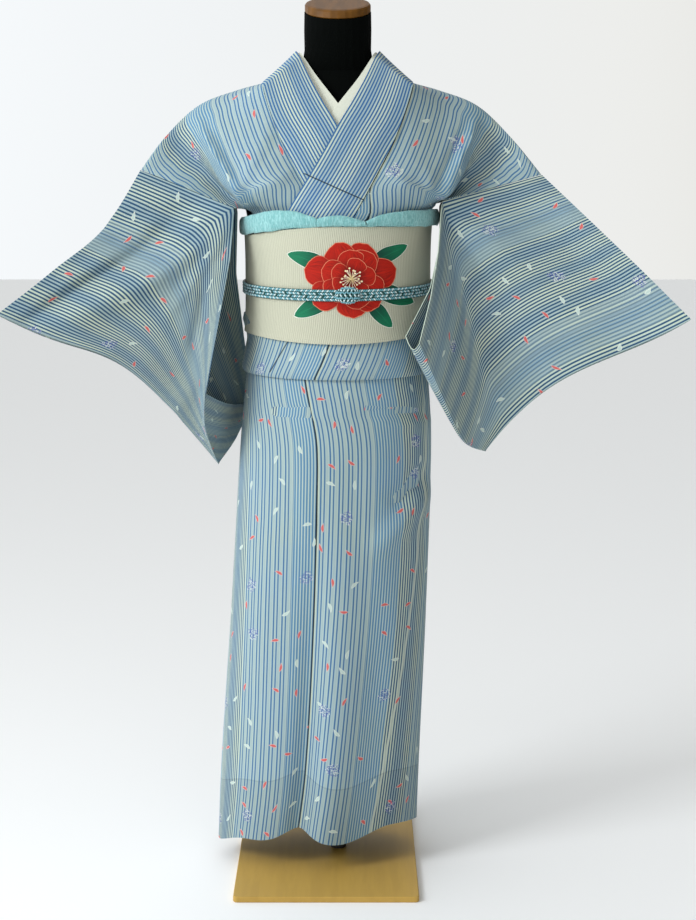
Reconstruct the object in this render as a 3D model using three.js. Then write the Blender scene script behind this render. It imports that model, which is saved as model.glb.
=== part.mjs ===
// A striped summer kimono dressed on a limbless stand, with its sash, sash scarf and cord.
// Millimetres, +Z up, the front faces -Y, the wearer's left is +X, and the origin is on the floor under the neck.
// Every cloth piece is a wall: a grid of points on its middle surface, moved out and in by half its thickness.
import * as THREE from "three";

// ---- driving dimensions ----
const CLOTH = 1.2; // wall of one layer of kimono cloth
const COLLAR_CLOTH = 2.2; // the collar is folded, so its wall is thicker
const SASH_CLOTH = 3.2; // two turns of sash
const SEAM = 0.4; // clear distance between two pieces that are sewn together
const LAYER = 3.2; // from the under front to the upper front, middle to middle
const FOLD_GAP = 2.6; // between the layers of the waist tuck
const HEM_Z = 50;
const TUCK_BOTTOM_Z = 760;
const TUCK_TOP_Z = 846;
const SASH_OUT = 12.7; // middle of the sash wall, out from the under layer
const SASH_Z = { front: 976, wearersRight: 960, wearersLeft: 974, back: 974 };
const SASH_FOOT_Z = { front: 807, side: 818 };
const CORD_WIDTH = 17;
const CORD_DEPTH = 3.6;
const CORD_Z = 878;
const DRUM_HALF_WIDTH = 130;
const BASE = { left: -153, right: 119, front: -216, back: 210, thickness: 9 };
const POLE_RADIUS = 12;
const NECK_TOP_Z = 1285;
const NECK_SLANT = 0.3; // rise of the neck's top from front to back
const CAP_HEIGHT = 13;

const rad = (degrees) => (degrees * Math.PI) / 180;
const clamp = (t) => Math.min(1, Math.max(0, t));
const smooth = (t) => clamp(t) ** 2 * (3 - 2 * clamp(t));
const lerp = (a, b, t) => a + (b - a) * t;
const bell = (d, width) => Math.exp(-((d / width) ** 2));
const vec = (x, y, z) => new THREE.Vector3(x, y, z);
const mix = (p, q, t) => vec(lerp(p.x, q.x, t), lerp(p.y, q.y, t), lerp(p.z, q.z, t));
const row3 = (list) => list.map(([x, y, z]) => vec(x, y, z));
const mirrored = (p) => vec(-p.x, p.y, p.z);
const steps = (count) => Array.from({ length: count + 1 }, (_, i) => i / count);

// Smooth interpolation of a table's column by its key column.
function read(table, key, at, column) {
  const last = table.length - 1;
  let i = 0;
  while (i < last - 1 && at > table[i + 1][key]) i++;
  const slope = (k) => {
    const lo = table[Math.max(0, k - 1)];
    const hi = table[Math.min(last, k + 1)];
    return (hi[column] - lo[column]) / (hi[key] - lo[key]);
  };
  const span = table[i + 1][key] - table[i][key];
  const t = clamp((at - table[i][key]) / span);
  const [a, b] = [table[i][column], table[i + 1][column]];
  const [t2, t3] = [t * t, t * t * t];
  return (2 * t3 - 3 * t2 + 1) * a + (t3 - 2 * t2 + t) * span * slope(i)
    + (3 * t2 - 2 * t3) * b + (t3 - t2) * span * slope(i + 1);
}
// A smooth curve through points, at t from 0 to 1.
function through(points, t) {
  const n = points.length - 1;
  const i = Math.min(n - 1, Math.floor(clamp(t) * n));
  const f = clamp(t) * n - i;
  const p = (k) => points[Math.min(n, Math.max(0, k))];
  const at = (axis) => {
    const [a, b, c, d] = [p(i - 1)[axis], p(i)[axis], p(i + 1)[axis], p(i + 2)[axis]];
    return 0.5 * (2 * b + (c - a) * f + (2 * a - 5 * b + 4 * c - d) * f * f
      + (3 * b - a - 3 * c + d) * f ** 3);
  };
  return vec(at("x"), at("y"), at("z"));
}
// Straight lines through points.
function chain(points, t) {
  const n = points.length - 1;
  const i = Math.min(n - 1, Math.floor(clamp(t) * n));
  return mix(points[i], points[i + 1], clamp(t) * n - i);
}

// ---- the dressed body: half width, front depth and back depth of the under layer at each height ----
const BODY = [
  { z: 20, cx: -32, hw: 152, df: 101, db: 100, seam: -13 },
  { z: 148, cx: -27, hw: 151, df: 102, db: 102, seam: -9 },
  { z: 403, cx: -13, hw: 147, df: 104, db: 108, seam: -9 },
  { z: 651, cx: -2, hw: 142, df: 108, db: 112, seam: -11.3 },
  { z: 758, cx: 0, hw: 134, df: 106, db: 106, seam: -20 },
  { z: 820, cx: 0, hw: 126, df: 104, db: 98, seam: -4 },
  { z: 880, cx: 0, hw: 124, df: 104, db: 95, seam: 3 },
  { z: 975, cx: 0, hw: 126, df: 104, db: 100, seam: 14 },
  { z: 1007, cx: 0, hw: 134, df: 102, db: 108, seam: 23 },
  { z: 1060, cx: 0, hw: 150, df: 98, db: 116, seam: 25 },
  { z: 1100, cx: 0, hw: 165, df: 91, db: 116, seam: 25 },
  { z: 1150, cx: 0, hw: 178, df: 74, db: 110, seam: 25 },
  { z: 1180, cx: 0, hw: 182, df: 54, db: 96, seam: 25 },
  { z: 1228, cx: 0, hw: 186, df: 6, db: 60, seam: 25 },
];
const body = (z, column) => read(BODY, "z", z, column);

// A point on the body at an angle from the front centre, +90 degrees at the wearer's left side.
function onBody(angle, z, out = 0) {
  const depth = Math.cos(rad(angle)) > 0 ? body(z, "df") : body(z, "db");
  const [s, c] = [Math.sin(rad(angle)), Math.cos(rad(angle))];
  const normal = new THREE.Vector2(s / body(z, "hw"), -c / depth).normalize();
  return vec(body(z, "cx") + body(z, "hw") * s + out * normal.x, -depth * c + out * normal.y, z);
}
// The chest at a place in the front view.
function onFront(x, z, out = 0) {
  const across = clamp(1 - (x / (body(z, "hw") + out)) ** 2);
  return vec(x, -(body(z, "df") + out) * Math.sqrt(across), z);
}
// The level direction round the body, for the rims of panels that are sewn side by side.
function roundBody(p) {
  if (p.z > 985) return null;
  const depth = p.y < 0 ? body(p.z, "df") : body(p.z, "db");
  const s = (p.x - body(p.z, "cx")) / body(p.z, "hw");
  return vec((-p.y / depth) * body(p.z, "hw"), s * depth, 0).normalize();
}

// ---- walls ----
function normals(grid, ring = false, rim = null) {
  const [rows, cols] = [grid.length, grid[0].length];
  const at = (i, j) => grid[Math.min(rows - 1, Math.max(0, i))][
    ring ? (j + cols) % cols : Math.min(cols - 1, Math.max(0, j))];
  return grid.map((row, i) => row.map((p, j) => {
    const along = at(i + 1, j).clone().sub(at(i - 1, j));
    let across = at(i, j + 1).clone().sub(at(i, j - 1));
    const level = rim && !ring && (j === 0 || j === cols - 1) ? rim(p) : null;
    if (level) across = level.multiplyScalar(Math.sign(level.dot(across)) || 1);
    return across.cross(along).normalize();
  }));
}
// The same grid, moved out along its normals by a distance that may vary by row.
function moved(grid, distance, ring = false) {
  const out = normals(grid, ring);
  return grid.map((row, i) => row.map((p, j) =>
    p.clone().addScaledVector(out[i][j], typeof distance === "function" ? distance(i) : distance)));
}
// A closed wall from a grid of points on its middle surface; a ring joins its last column to its first.
function wall(name, grid, thickness, color, { ring = false, rim = null, roughness = 0.85 } = {}) {
  const [rows, cols] = [grid.length, grid[0].length];
  const out = normals(grid, ring, rim);
  const position = [0.5, -0.5].flatMap((side) => grid.flatMap((row, i) => row.flatMap((p, j) =>
    p.clone().addScaledVector(out[i][j], side * thickness).toArray())));
  const id = (side, i, j) => side * rows * cols + i * cols + (j % cols);
  const index = [];
  const quad = (a, b, c, d) => index.push(a, b, c, a, c, d);
  const spans = ring ? cols : cols - 1;
  for (let i = 0; i < rows - 1; i++) {
    for (let j = 0; j < spans; j++) {
      quad(id(0, i, j), id(0, i, j + 1), id(0, i + 1, j + 1), id(0, i + 1, j));
      quad(id(1, i, j), id(1, i + 1, j), id(1, i + 1, j + 1), id(1, i, j + 1));
    }
  }
  for (let j = 0; j < spans; j++) {
    quad(id(0, 0, j), id(1, 0, j), id(1, 0, j + 1), id(0, 0, j + 1));
    quad(id(0, rows - 1, j), id(0, rows - 1, j + 1), id(1, rows - 1, j + 1), id(1, rows - 1, j));
  }
  for (let i = 0; !ring && i < rows - 1; i++) {
    quad(id(0, i, 0), id(0, i + 1, 0), id(1, i + 1, 0), id(1, i, 0));
    quad(id(0, i, cols - 1), id(1, i, cols - 1), id(1, i + 1, cols - 1), id(0, i + 1, cols - 1));
  }
  return solid(name, position, index, color, roughness);
}
// A solid from rings of points: each ring joins the next, and both ends are closed by a fan.
function lofted(name, rings, color, roughness = 0.8) {
  const cols = rings[0].length;
  const position = rings.flat().flatMap((p) => p.toArray());
  const index = [];
  for (let i = 0; i < rings.length - 1; i++) {
    for (let j = 0; j < cols; j++) {
      const k = (j + 1) % cols;
      index.push(i * cols + j, i * cols + k, (i + 1) * cols + k);
      index.push(i * cols + j, (i + 1) * cols + k, (i + 1) * cols + j);
    }
  }
  for (const [ring, start, flip] of [[rings[0], 0, true], [rings.at(-1), (rings.length - 1) * cols, false]]) {
    const hub = position.length / 3;
    position.push(...ring.reduce((sum, p) => sum.add(p), vec(0, 0, 0)).divideScalar(cols).toArray());
    for (let j = 0; j < cols; j++) {
      const [a, b] = [start + j, start + ((j + 1) % cols)];
      index.push(...(flip ? [hub, b, a] : [hub, a, b]));
    }
  }
  return solid(name, position, index, color, roughness);
}
// A mesh that faces out, whichever way its rows ran.
function solid(name, position, index, color, roughness) {
  const p = (i) => vec(...position.slice(3 * i, 3 * i + 3));
  let volume = 0;
  for (let i = 0; i < index.length; i += 3) {
    volume += p(index[i]).dot(p(index[i + 1]).cross(p(index[i + 2])));
  }
  const geometry = new THREE.BufferGeometry();
  geometry.setAttribute("position", new THREE.Float32BufferAttribute(position, 3));
  geometry.setIndex(volume > 0 ? index : index.toReversed());
  geometry.computeVertexNormals();
  const mesh = new THREE.Mesh(geometry, new THREE.MeshStandardMaterial({ color, roughness }));
  mesh.name = name;
  return mesh;
}

// ---- the skirt and the waist tuck ----
const OPEN_EDGE = -84; // the overlap's free edge, at the wearer's right
const SIDE = 88.5; // the side seams
const UNDER_EDGE = 58; // the under overlap's hidden edge
const BESIDE = 0.11; // half a seam's gap, in degrees round the body
const seamAngle = (z) => body(z, "seam");
// The upper front leaves the under layer just inside the left side seam.
const overOut = (angle) => LAYER * smooth((SIDE - angle) / 15);
// The overlap seam lies in a soft valley that deepens to the hem, with a ridge on its left.
function drape(angle, z) {
  const low = smooth((640 - z) / 560);
  const fromSeam = angle - seamAngle(z);
  return low * (14 * bell(fromSeam - 15, 13) - 18 * bell(fromSeam, 7) + 5 * bell(fromSeam + 26, 16));
}
// The hem rises at the overlap seam and towards the left side, and drops to the overlap's free corner.
function hemZ(angle) {
  const corner = 22 * smooth((-40 - angle) / 45) * smooth((angle + 130) / 40);
  const leftRise = 20 * smooth((angle - 12) / 33) * (1 - smooth((angle - 40) / 100));
  return HEM_Z + 20 * bell(angle - seamAngle(HEM_Z), 12) + leftRise - corner;
}
// A skirt point: share 0 at the hem, 1 under the tuck; the under layer lies a little deeper.
function skirt(angle, share, out, under = false) {
  const z = lerp(hemZ(angle), TUCK_BOTTOM_Z - 10, share);
  const front = smooth(Math.cos(rad(angle)) / 0.3);
  const clear = 7 * smooth((690 - z) / 300) + 6 * smooth((500 - z) / 300) * bell(angle - seamAngle(z), 16);
  const fold = under ? 0.7 * drape(angle, z) - clear : drape(angle, z);
  return onBody(angle, z, out + front * fold);
}
// The tuck from the hips up: the under layer, down again, and the outside layer.
const TUCK = [
  { z: 785, out: 0, seam: -22 },
  { z: TUCK_TOP_Z - 14, out: 0, seam: -24 },
  { z: TUCK_TOP_Z - 2, out: 0.1, seam: -24 },
  { z: TUCK_TOP_Z, out: 0.5, seam: -24 },
  { z: TUCK_TOP_Z - 2, out: 0.9, seam: -24 },
  { z: TUCK_TOP_Z - 18, out: 1, seam: -23 },
  { z: TUCK_BOTTOM_Z + 12, out: 1.1, seam: -16 },
  { z: TUCK_BOTTOM_Z + 2, out: 1.2, seam: -14.5 },
  { z: TUCK_BOTTOM_Z, out: 1.9, seam: -13.8 },
  { z: TUCK_BOTTOM_Z + 3, out: 2.7, seam: -13.3 },
  { z: TUCK_BOTTOM_Z + 20, out: 2.9, seam: -10.2 },
  { z: TUCK_TOP_Z - 38, out: 2.2, seam: -5.8 },
  { z: TUCK_TOP_Z + 4, out: 2, seam: -0.5 },
];
const tuckDip = (angle) => 5 * Math.cos(rad(angle));
const tucked = (angle, fold, out) =>
  onBody(angle, fold.z - tuckDip(angle), out + FOLD_GAP * fold.out);
const UPPER = LAYER + 2 * FOLD_GAP; // the upper front above the tuck

// ---- the collar: neck edge and seam edge, from the nape to its end under the sash ----
const NAPE = [
  { inx: 0, iny: 96, inz: 1206, outx: 0, outy: 113, outz: 1152 },
  { inx: 34, iny: 86, inz: 1212, outx: 46, outy: 106, outz: 1159 },
  { inx: 55, iny: 54, inz: 1222, outx: 82, outy: 76, outz: 1173 },
  { inx: 60, iny: 14, inz: 1228, outx: 104, outy: 26, outz: 1184 },
];
const LAPEL = [
  { inx: 55, inz: 1218, outx: 108, outz: 1176 },
  { inx: 40, inz: 1187, outx: 99, outz: 1146 },
  { inx: 22, inz: 1155, outx: 88, outz: 1116 },
  { inx: 3, inz: 1124, outx: 74, outz: 1085 },
  { inx: -30, inz: 1066, outx: 43, outz: 1027 },
  { inx: -67, inz: 1006, outx: 10, outz: 966 },
  { inx: -96, inz: 952, outx: -20, outz: 908 },
  { inx: -110, inz: 915, outx: -43, outz: 866 },
];
const LAST_STATION = NAPE.length + LAPEL.length - 1;
const COVER_END = 8.25; // the station at which the collar cover ends
const UNDER_COLLAR = 1.5; // the under side of the collar, out from the under layer
// A collar point: across 0 is the neck edge and 1 the seam; stations from 4 on lie on the chest.
function collarPoint(station, across, out) {
  const edge = (side) => [
    ...NAPE.map((k) => vec(k[side + "x"], k[side + "y"], k[side + "z"])),
    ...LAPEL.map((k) => onFront(k[side + "x"], k[side + "z"], out)),
  ];
  const t = station / LAST_STATION;
  const p = mix(through(edge("in"), t), through(edge("out"), t), across);
  if (station >= 4) p.y = onFront(p.x, p.z, out).y;
  return p;
}
const outOf = (left) => (left ? UPPER : UNDER_COLLAR);
// Rows of collar from one front end, round the nape, to the other.
function collarRows(leftEnd, rightEnd, point) {
  const rows = [];
  for (let s = leftEnd; s > 0; s = Math.ceil(2 * s - 1) / 2) rows.push(point(s, true));
  for (let s = 0; s < rightEnd; s += 0.5) rows.push(point(s, false).map(mirrored));
  rows.push(point(rightEnd, false).map(mirrored));
  return rows;
}
const COLLAR_COLS = [0, 0.33, 0.67, 1];
const collarGrid = (leftEnd, rightEnd) => collarRows(leftEnd, rightEnd, (s, left) =>
  COLLAR_COLS.map((c) => collarPoint(s, c, outOf(left))));

function collar() {
  return wall("collar", collarGrid(LAST_STATION, LAST_STATION), COLLAR_CLOTH, "#7fa0c4");
}
function collarCover() {
  const lift = (COLLAR_CLOTH + CLOTH) / 2 + 1.5 * SEAM;
  const grid = moved(collarGrid(COVER_END, COVER_END), lift);
  return wall("collar_cover", grid, CLOTH, "#86a8ca");
}
// The white half collar stands out beyond the collar's neck edge, most at the front.
function halfCollar() {
  const shown = (s) => lerp(0.03, 0.24, smooth((s - 2.5) / 4));
  const grid = collarRows(7.5, 7, (s, left) =>
    [-shown(s), 0.02, 0.18, 0.34].map((c) => collarPoint(s, c, outOf(left))));
  const lefts = 15;
  const depth = (i) => {
    const s = i < lefts ? 7.5 - 0.5 * i : 0.5 * (i - lefts);
    return lerp(3, i < lefts ? UPPER + 1.6 : UNDER_COLLAR + 4.6, smooth((s - 3) / 2.6));
  };
  return wall("half_collar", moved(grid, (i) => -depth(i)), CLOTH, "#eceee4");
}

// ---- the bodice, for the wearer's left: points from the collar seam to the armhole ----
const ARMHOLE = {
  left: { end: vec(300, -20, 1049), front: vec(151, -50, 1011), back: vec(151, 24, 1007) },
  right: { end: vec(-290, -20, 1056), front: vec(-150, -50, 1001), back: vec(-150, 36, 1001) },
};
// Rows over the shoulder from the chest to the blade: a collar station, three points across, and the
// share of the way from the sleeve's top to the armpit, counted below zero at the front.
const SHOULDER = [
  { station: 7.9, inner: [100, -98, 1036], crest: [141, -72, 1020], outer: [150, -36, 1014], armhole: -1 },
  { station: 7, inner: [118, -88, 1060], crest: [160, -68, 1036], outer: [170, -20, 1028], armhole: -0.75 },
  { station: 5.5, inner: [140, -66, 1100], crest: [178, -58, 1069], outer: [194, -16, 1052], armhole: -0.5 },
  { station: 4, inner: [152, -34, 1152], crest: [200, -30, 1122], outer: [232, -12, 1084], armhole: -0.25 },
  { station: 3, inner: [150, 10, 1171], crest: [205, 0, 1149], outer: [254, -12, 1104], armhole: 0 },
  { station: 2.4, inner: [145, 48, 1147], crest: [196, 30, 1113], outer: [234, 8, 1076], armhole: 0.25 },
  { station: 1.2, inner: [110, 92, 1122], crest: [165, 72, 1087], outer: [196, 32, 1056], armhole: 0.5 },
  { station: 0, inner: [70, 120, 1098], crest: [130, 102, 1057], outer: [165, 54, 1032], armhole: 0.75 },
  { spine: 1085, inner: [60, 126, 1050], crest: [112, 106, 1026], outer: [142, 66, 1008], armhole: 1 },
];
const SHOULDER_STEPS = 16;
const SPINE_OUT = 9; // the back's fullness at the spine, out from the under layer
// The shoulder table at t from 0 to 1, level by level; below the nape there is a spine height in place of a
// collar station.
function shoulderAt(t) {
  const at = t * (SHOULDER.length - 1);
  const i = Math.min(SHOULDER.length - 2, Math.floor(at + 1e-9));
  const [a, b, f] = [SHOULDER[i], SHOULDER[i + 1], at - i];
  const spine = b.spine && f > 1e-6 ? lerp(NAPE[0].outz - 8, b.spine, f) : null;
  return { spine, station: lerp(a.station, b.station ?? a.station, f), armhole: lerp(a.armhole, b.armhole, f) };
}
const CHEST_Z = 996; // the bodice fills out above this height
const CHEST_START = 20;
const BEYOND = 0.025; // a panel's edge lies this share of the collar's width beyond its seam
const COLS = 9;
const SKIRT_ROWS = steps(8);
const acrossPanel = steps(COLS).map((u) => u ** 1.5);

// One body panel: front hem, up over the shoulder, and down to the back hem.
function bodyPanel(left) {
  const side = (p) => (left ? p : mirrored(p));
  const hole = left ? ARMHOLE.left : ARMHOLE.right;
  const out = left ? UPPER : 0;
  const arc = (from, to, point) => acrossPanel.map((u) => point(lerp(from, to, u)));
  const frontFrom = (z) => seamAngle(z) + BESIDE;
  const turn = left ? 1 : -1;
  const rows = SKIRT_ROWS.map((share) => arc(frontFrom(lerp(HEM_Z, TUCK_BOTTOM_Z, share)), SIDE, (a) =>
    skirt(turn * a, share, left ? overOut(a) : 0, !left)));
  if (left) rows.push(...TUCK.map((fold) => arc(fold.seam + BESIDE, SIDE, (a) => tucked(a, fold, overOut(a)))));
  const straight = left ? [900, 950] : [790, TUCK_TOP_Z, 900, 950];
  rows.push(...straight.map((z) => arc(frontFrom(z), SIDE, (a) =>
    onBody(turn * a, z, left ? overOut(a) + 2 * FOLD_GAP : 0))));
  rows.push(arc(CHEST_START, SIDE - 8, (a) => side(onBody(a, CHEST_Z, out))));
  const neckAt = (station) => side(collarPoint(station, 1 + BEYOND, out));
  const column = (name) => through.bind(null, SHOULDER.map((k) => side(vec(...k[name]))));
  const [inner, crest, outer] = ["inner", "crest", "outer"].map(column);
  for (const t of steps(SHOULDER_STEPS)) {
    const { station, spine, armhole } = shoulderAt(t);
    const neck = spine ? side(vec(SEAM / 2, body(spine, "db") + SPINE_OUT, spine)) : neckAt(station);
    if (!spine && station < 1e-6) neck.x = (left ? SEAM : -SEAM) / 2;
    const far = armhole < 0 ? mix(hole.end, hole.front, -armhole) : mix(hole.end, hole.back, armhole);
    rows.push(acrossPanel.map((u) => through([neck, inner(t), crest(t), outer(t), far], u)));
  }
  const backArc = (point) => arc(180 - BESIDE, SIDE + 0.4, (a) => side(point(a)));
  rows.push(...[1000, 950, 900].map((z) => backArc((a) => onBody(a, z, 2 * FOLD_GAP))));
  rows.push(...TUCK.toReversed().map((fold) => backArc((a) => tucked(a, fold, 0))));
  rows.push(...SKIRT_ROWS.toReversed().map((share) =>
    arc(180 - BESIDE, SIDE + 0.4, (a) => skirt(turn * a, share, 0))));
  return wall(left ? "body_left" : "body_right", rows, CLOTH, "#8fb4cf", { rim: roundBody });
}

// ---- the overlap panels, sewn to the body panels' front edges ----
const TUCK_CUT = [{ z: 853, angle: -62 }, { z: 857, angle: -42 }]; // the edge above the tuck
const collarSide = LAPEL.toReversed();

function overlap(left) {
  const cols = steps(6).map((u) => 1 - (1 - u) ** 1.5);
  const turn = left ? 1 : -1;
  const out = left ? UPPER : 0;
  const seam = (z) => seamAngle(z) - BESIDE;
  const free = left ? OPEN_EDGE : -UNDER_EDGE;
  const arc = (from, to, point) => cols.map((u) => point(lerp(from, to, u)));
  const rows = SKIRT_ROWS.map((share) => arc(free, seam(lerp(HEM_Z, TUCK_BOTTOM_Z, share)), (a) =>
    skirt(turn * a, share, left ? LAYER : 0, !left)));
  if (left) rows.push(...TUCK.map((fold) => arc(free, fold.seam - BESIDE, (a) => tucked(a, fold, LAYER))));
  else rows.push(...[790, TUCK_TOP_Z].map((z) => arc(free, seam(z), (a) => onBody(turn * a, z, 0))));
  rows.push(...TUCK_CUT.map((k) => arc(k.angle, seam(k.z), (a) => onBody(turn * a, k.z, out))));
  const chestX = onBody(CHEST_START - BESIDE, CHEST_Z, out).x;
  const tip = collarPoint(SHOULDER[0].station, 1 + BEYOND, out);
  for (const z of [862, 900, 950, CHEST_Z, CHEST_Z + 16, tip.z - 3]) {
    const share = (z - CHEST_Z) / (tip.z - CHEST_Z);
    const to = z < CHEST_Z ? onBody(seam(z), z, out).x : lerp(chestX, tip.x - SEAM, share);
    rows.push(arc(read(collarSide, "outz", z, "outx") + 1.4, to, (x) => {
      const p = onFront(x, z, out);
      return left ? p : mirrored(p);
    }));
  }
  return wall(left ? "overlap_left" : "overlap_right", rows, CLOTH, "#9cbdd4", { rim: roundBody });
}

// ---- sleeves: a tube from the armhole and its open under edge to the cuff ----
const SLEEVES = {
  left: {
    top: row3([[300, -20, 1049], [372, -62, 979], [440, -102, 912], [506, -140, 845]]),
    cuff: row3([[506, -140, 845], [440, -104, 805], [330, -64, 756], [262, -38, 690], [222, -20, 638]]),
    foot: row3([[117, -150, 812], [152, -108, 732], [186, -60, 660], [222, -20, 638]]),
    backFoot: row3([[98, -128, 820], [140, -84, 742], [186, -34, 668], [224, -18, 640]]),
    underFront: row3([[146, -84, 940], [134, -122, 876], [117, -150, 812]]),
    underBack: row3([[151, -38, 950], [134, -96, 886], [98, -128, 820]]),
    ridge: { from: 0.3, to: 0.3, height: 8, valley: 0.14, depth: 10 },
    sag: 14,
  },
  right: {
    top: row3([[-290, -20, 1056], [-340, -70, 972], [-405, -106, 916], [-487, -140, 852]]),
    cuff: row3([[-487, -140, 852], [-400, -126, 812], [-315, -108, 782], [-240, -64, 700], [-180, -20, 618]]),
    foot: row3([[-192, -112, 735], [-196, -80, 690], [-190, -50, 650], [-180, -20, 618]]),
    backFoot: row3([[-132, 78, 700], [-146, 50, 672], [-162, 20, 642], [-182, -18, 618]]),
    underFront: row3([[-156, -84, 930], [-174, -104, 830], [-192, -112, 735]]),
    underBack: row3([[-156, 62, 900], [-146, 80, 800], [-132, 78, 700]]),
    ridge: { from: 0.42, to: 0.16, height: 15, valley: 0.15, depth: 14 },
    sag: 10,
  },
};
const FRONT_COLS = [0, 0.04, 0.1, 0.18, 0.26, 0.34, 0.4, 0.48, 0.56, 0.66, 0.76, 0.86, 0.94, 1];
const CUFF_OPEN = 0.55; // the share of the cuff edge that is left open

// A surface between four edges.
function patch(top, foot, inner, outer) {
  return (a, b) => {
    const ruled = mix(inner(b), outer(b), a).add(mix(top(a), foot(a), b));
    return ruled.sub(mix(mix(top(0), foot(0), b), mix(top(1), foot(1), b), a));
  };
}
function sleeve(left) {
  const s = left ? SLEEVES.left : SLEEVES.right;
  const hole = left ? ARMHOLE.left : ARMHOLE.right;
  const sign = left ? 1 : -1;
  const back = vec(0.44 * sign, 0.9, -0.08).normalize();
  const clear = vec(1.3 * sign, 0, -0.6);
  const edge = (corner, under) => {
    const sewn = [hole.end, mix(hole.end, corner, 0.5), corner];
    return [...sewn, ...under].map((p, i) => (i < 3 ? p.clone().add(clear) : p));
  };
  const innerFront = edge(hole.front, s.underFront);
  const innerBack = edge(hole.back, s.underBack);
  const open = (b) => (b < CUFF_OPEN ? 2 + 22 * Math.sin((Math.PI * b) / CUFF_OPEN) : 2);
  const top = (a) => (a === 0 ? innerFront[0] : through(s.top, a));
  const cuff = (b) => through(s.cuff, b);
  const front = patch(top, (a) => through(s.foot, a), (b) => chain(innerFront, b), cuff);
  const rear = patch(top, (a) => through(s.backFoot, a), (b) => chain(innerBack, b),
    (b) => cuff(b).addScaledVector(back, b === 0 ? 0 : open(b)));
  const crease = (a, b) => {
    const at = lerp(s.ridge.from, s.ridge.to, a);
    const window = Math.sin(Math.PI * clamp(a)) ** 0.8 * smooth(b / 0.1) * smooth((1 - b) / 0.12);
    return window * (s.ridge.height * bell(b - at, 0.07) - s.ridge.depth * bell(b - at + s.ridge.valley, 0.07));
  };
  const rows = steps(9).map((a) => {
    const fronts = FRONT_COLS.map((b) => front(a, b).addScaledVector(back, -crease(a, b)));
    const backs = FRONT_COLS.slice(1).map((b) => rear(a, b)).toReversed();
    const [f, g] = [fronts.at(-1), backs[0]];
    const under = [0.3, 0.7].map((t) =>
      mix(f, g, t).add(vec(0, 0, -lerp(s.sag, 1.2, a) * Math.sin(Math.PI * t))));
    return [...fronts, ...under, ...backs];
  });
  return wall(left ? "sleeve_left" : "sleeve_right", rows, CLOTH, "#a3c2d8", { ring: true });
}

// ---- the sash, its cord and its scarf ----
const sashTop = (angle) => {
  const c = Math.cos(rad(angle));
  const side = angle < 0 ? SASH_Z.wearersRight : SASH_Z.wearersLeft;
  return lerp(side, c > 0 ? SASH_Z.front : SASH_Z.back, c * c);
};
const sashFoot = (angle) => lerp(SASH_FOOT_Z.side, SASH_FOOT_Z.front, Math.max(0, Math.cos(rad(angle))) ** 2);
const ROUND = steps(32).slice(0, -1).map((t) => 360 * t - 180);

function sash() {
  const grid = steps(4).map((t) => ROUND.map((a) =>
    onBody(a, lerp(sashFoot(a), sashTop(a), t), SASH_OUT)));
  return wall("sash", grid, SASH_CLOTH, "#dfe0cf", { ring: true });
}
const CORD_OUT = SASH_OUT + SASH_CLOTH / 2 + 2 * SEAM + CORD_DEPTH / 2;
const cordZ = (angle) => CORD_Z + 6 * (1 - Math.cos(rad(angle)));
function cord() {
  const grid = [-0.5, -0.25, 0.25, 0.5].map((t) => ROUND.map((a) =>
    onBody(a, cordZ(a) + t * CORD_WIDTH, CORD_OUT)));
  return wall("cord", grid, CORD_DEPTH, "#7ea9b5", { ring: true });
}
// A padded strip along points on its middle line, half heights and half depths at each.
function padded(name, stations, color, turns = 12) {
  const rings = stations.map((k, i) => {
    const before = stations[Math.max(0, i - 1)].at;
    const after = stations[Math.min(stations.length - 1, i + 1)].at;
    const along = after.clone().sub(before).normalize();
    const up = vec(0, 0, 1).addScaledVector(along, -along.z).normalize();
    const out = along.clone().cross(up).normalize();
    return steps(turns).slice(0, -1).map((t) => k.at.clone()
      .addScaledVector(up, k.high * Math.cos(2 * Math.PI * t))
      .addScaledVector(out, k.deep * Math.sin(2 * Math.PI * t)));
  });
  return lofted(name, rings, color);
}
function cordKnot() {
  const y = -(body(CORD_Z, "df") + CORD_OUT + CORD_DEPTH / 2);
  const rings = [
    { x: -19, high: 5, deep: 2.5 }, { x: -15, high: 10, deep: 5 }, { x: -5, high: 12.5, deep: 7 },
    { x: 6, high: 12, deep: 7 }, { x: 15, high: 9.5, deep: 5 }, { x: 19, high: 5, deep: 2.5 },
  ];
  return padded("cord_knot", rings.map((k) => ({ at: vec(15 + k.x, y - 6.6, CORD_Z + 1), ...k })), "#6f9dac");
}
const scarfAt = (angle, high, out, deep) => ({
  at: onBody(angle, sashTop(angle) + SEAM + high, out), high, deep,
});
function scarfSide(name, left) {
  const list = [
    { a: left ? 17.5 : 12.9, high: left ? 4 : 6.5 }, { a: 26, high: left ? 8.5 : 12.5 }, { a: 40, high: left ? 11 : 14.5 },
    { a: 56, high: left ? 12 : 14 }, { a: 70, high: left ? 12.5 : 13.5 }, { a: 84, high: left ? 12 : 13 },
    { a: 105, high: 9 }, { a: 118, high: 5 }, { a: 134, high: 5 }, { a: 152, high: 6 },
  ];
  return padded(name, list.map((k) =>
    scarfAt(left ? k.a : -k.a, k.high, 15 + (left ? 4.8 : 2.5) * smooth((k.a - 24) / 30), 3.8)), "#a6dcdc");
}
function scarfMiddle() {
  const list = [
    { a: -11.4, high: 6 }, { a: -7, high: 7.5 }, { a: 0, high: 8 }, { a: 9, high: 6.5 }, { a: 16.5, high: 3.5 },
  ];
  return padded("scarf_middle", list.map((k) => scarfAt(k.a, k.high, 15.5, 4.4)), "#9bd4d4");
}

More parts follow.
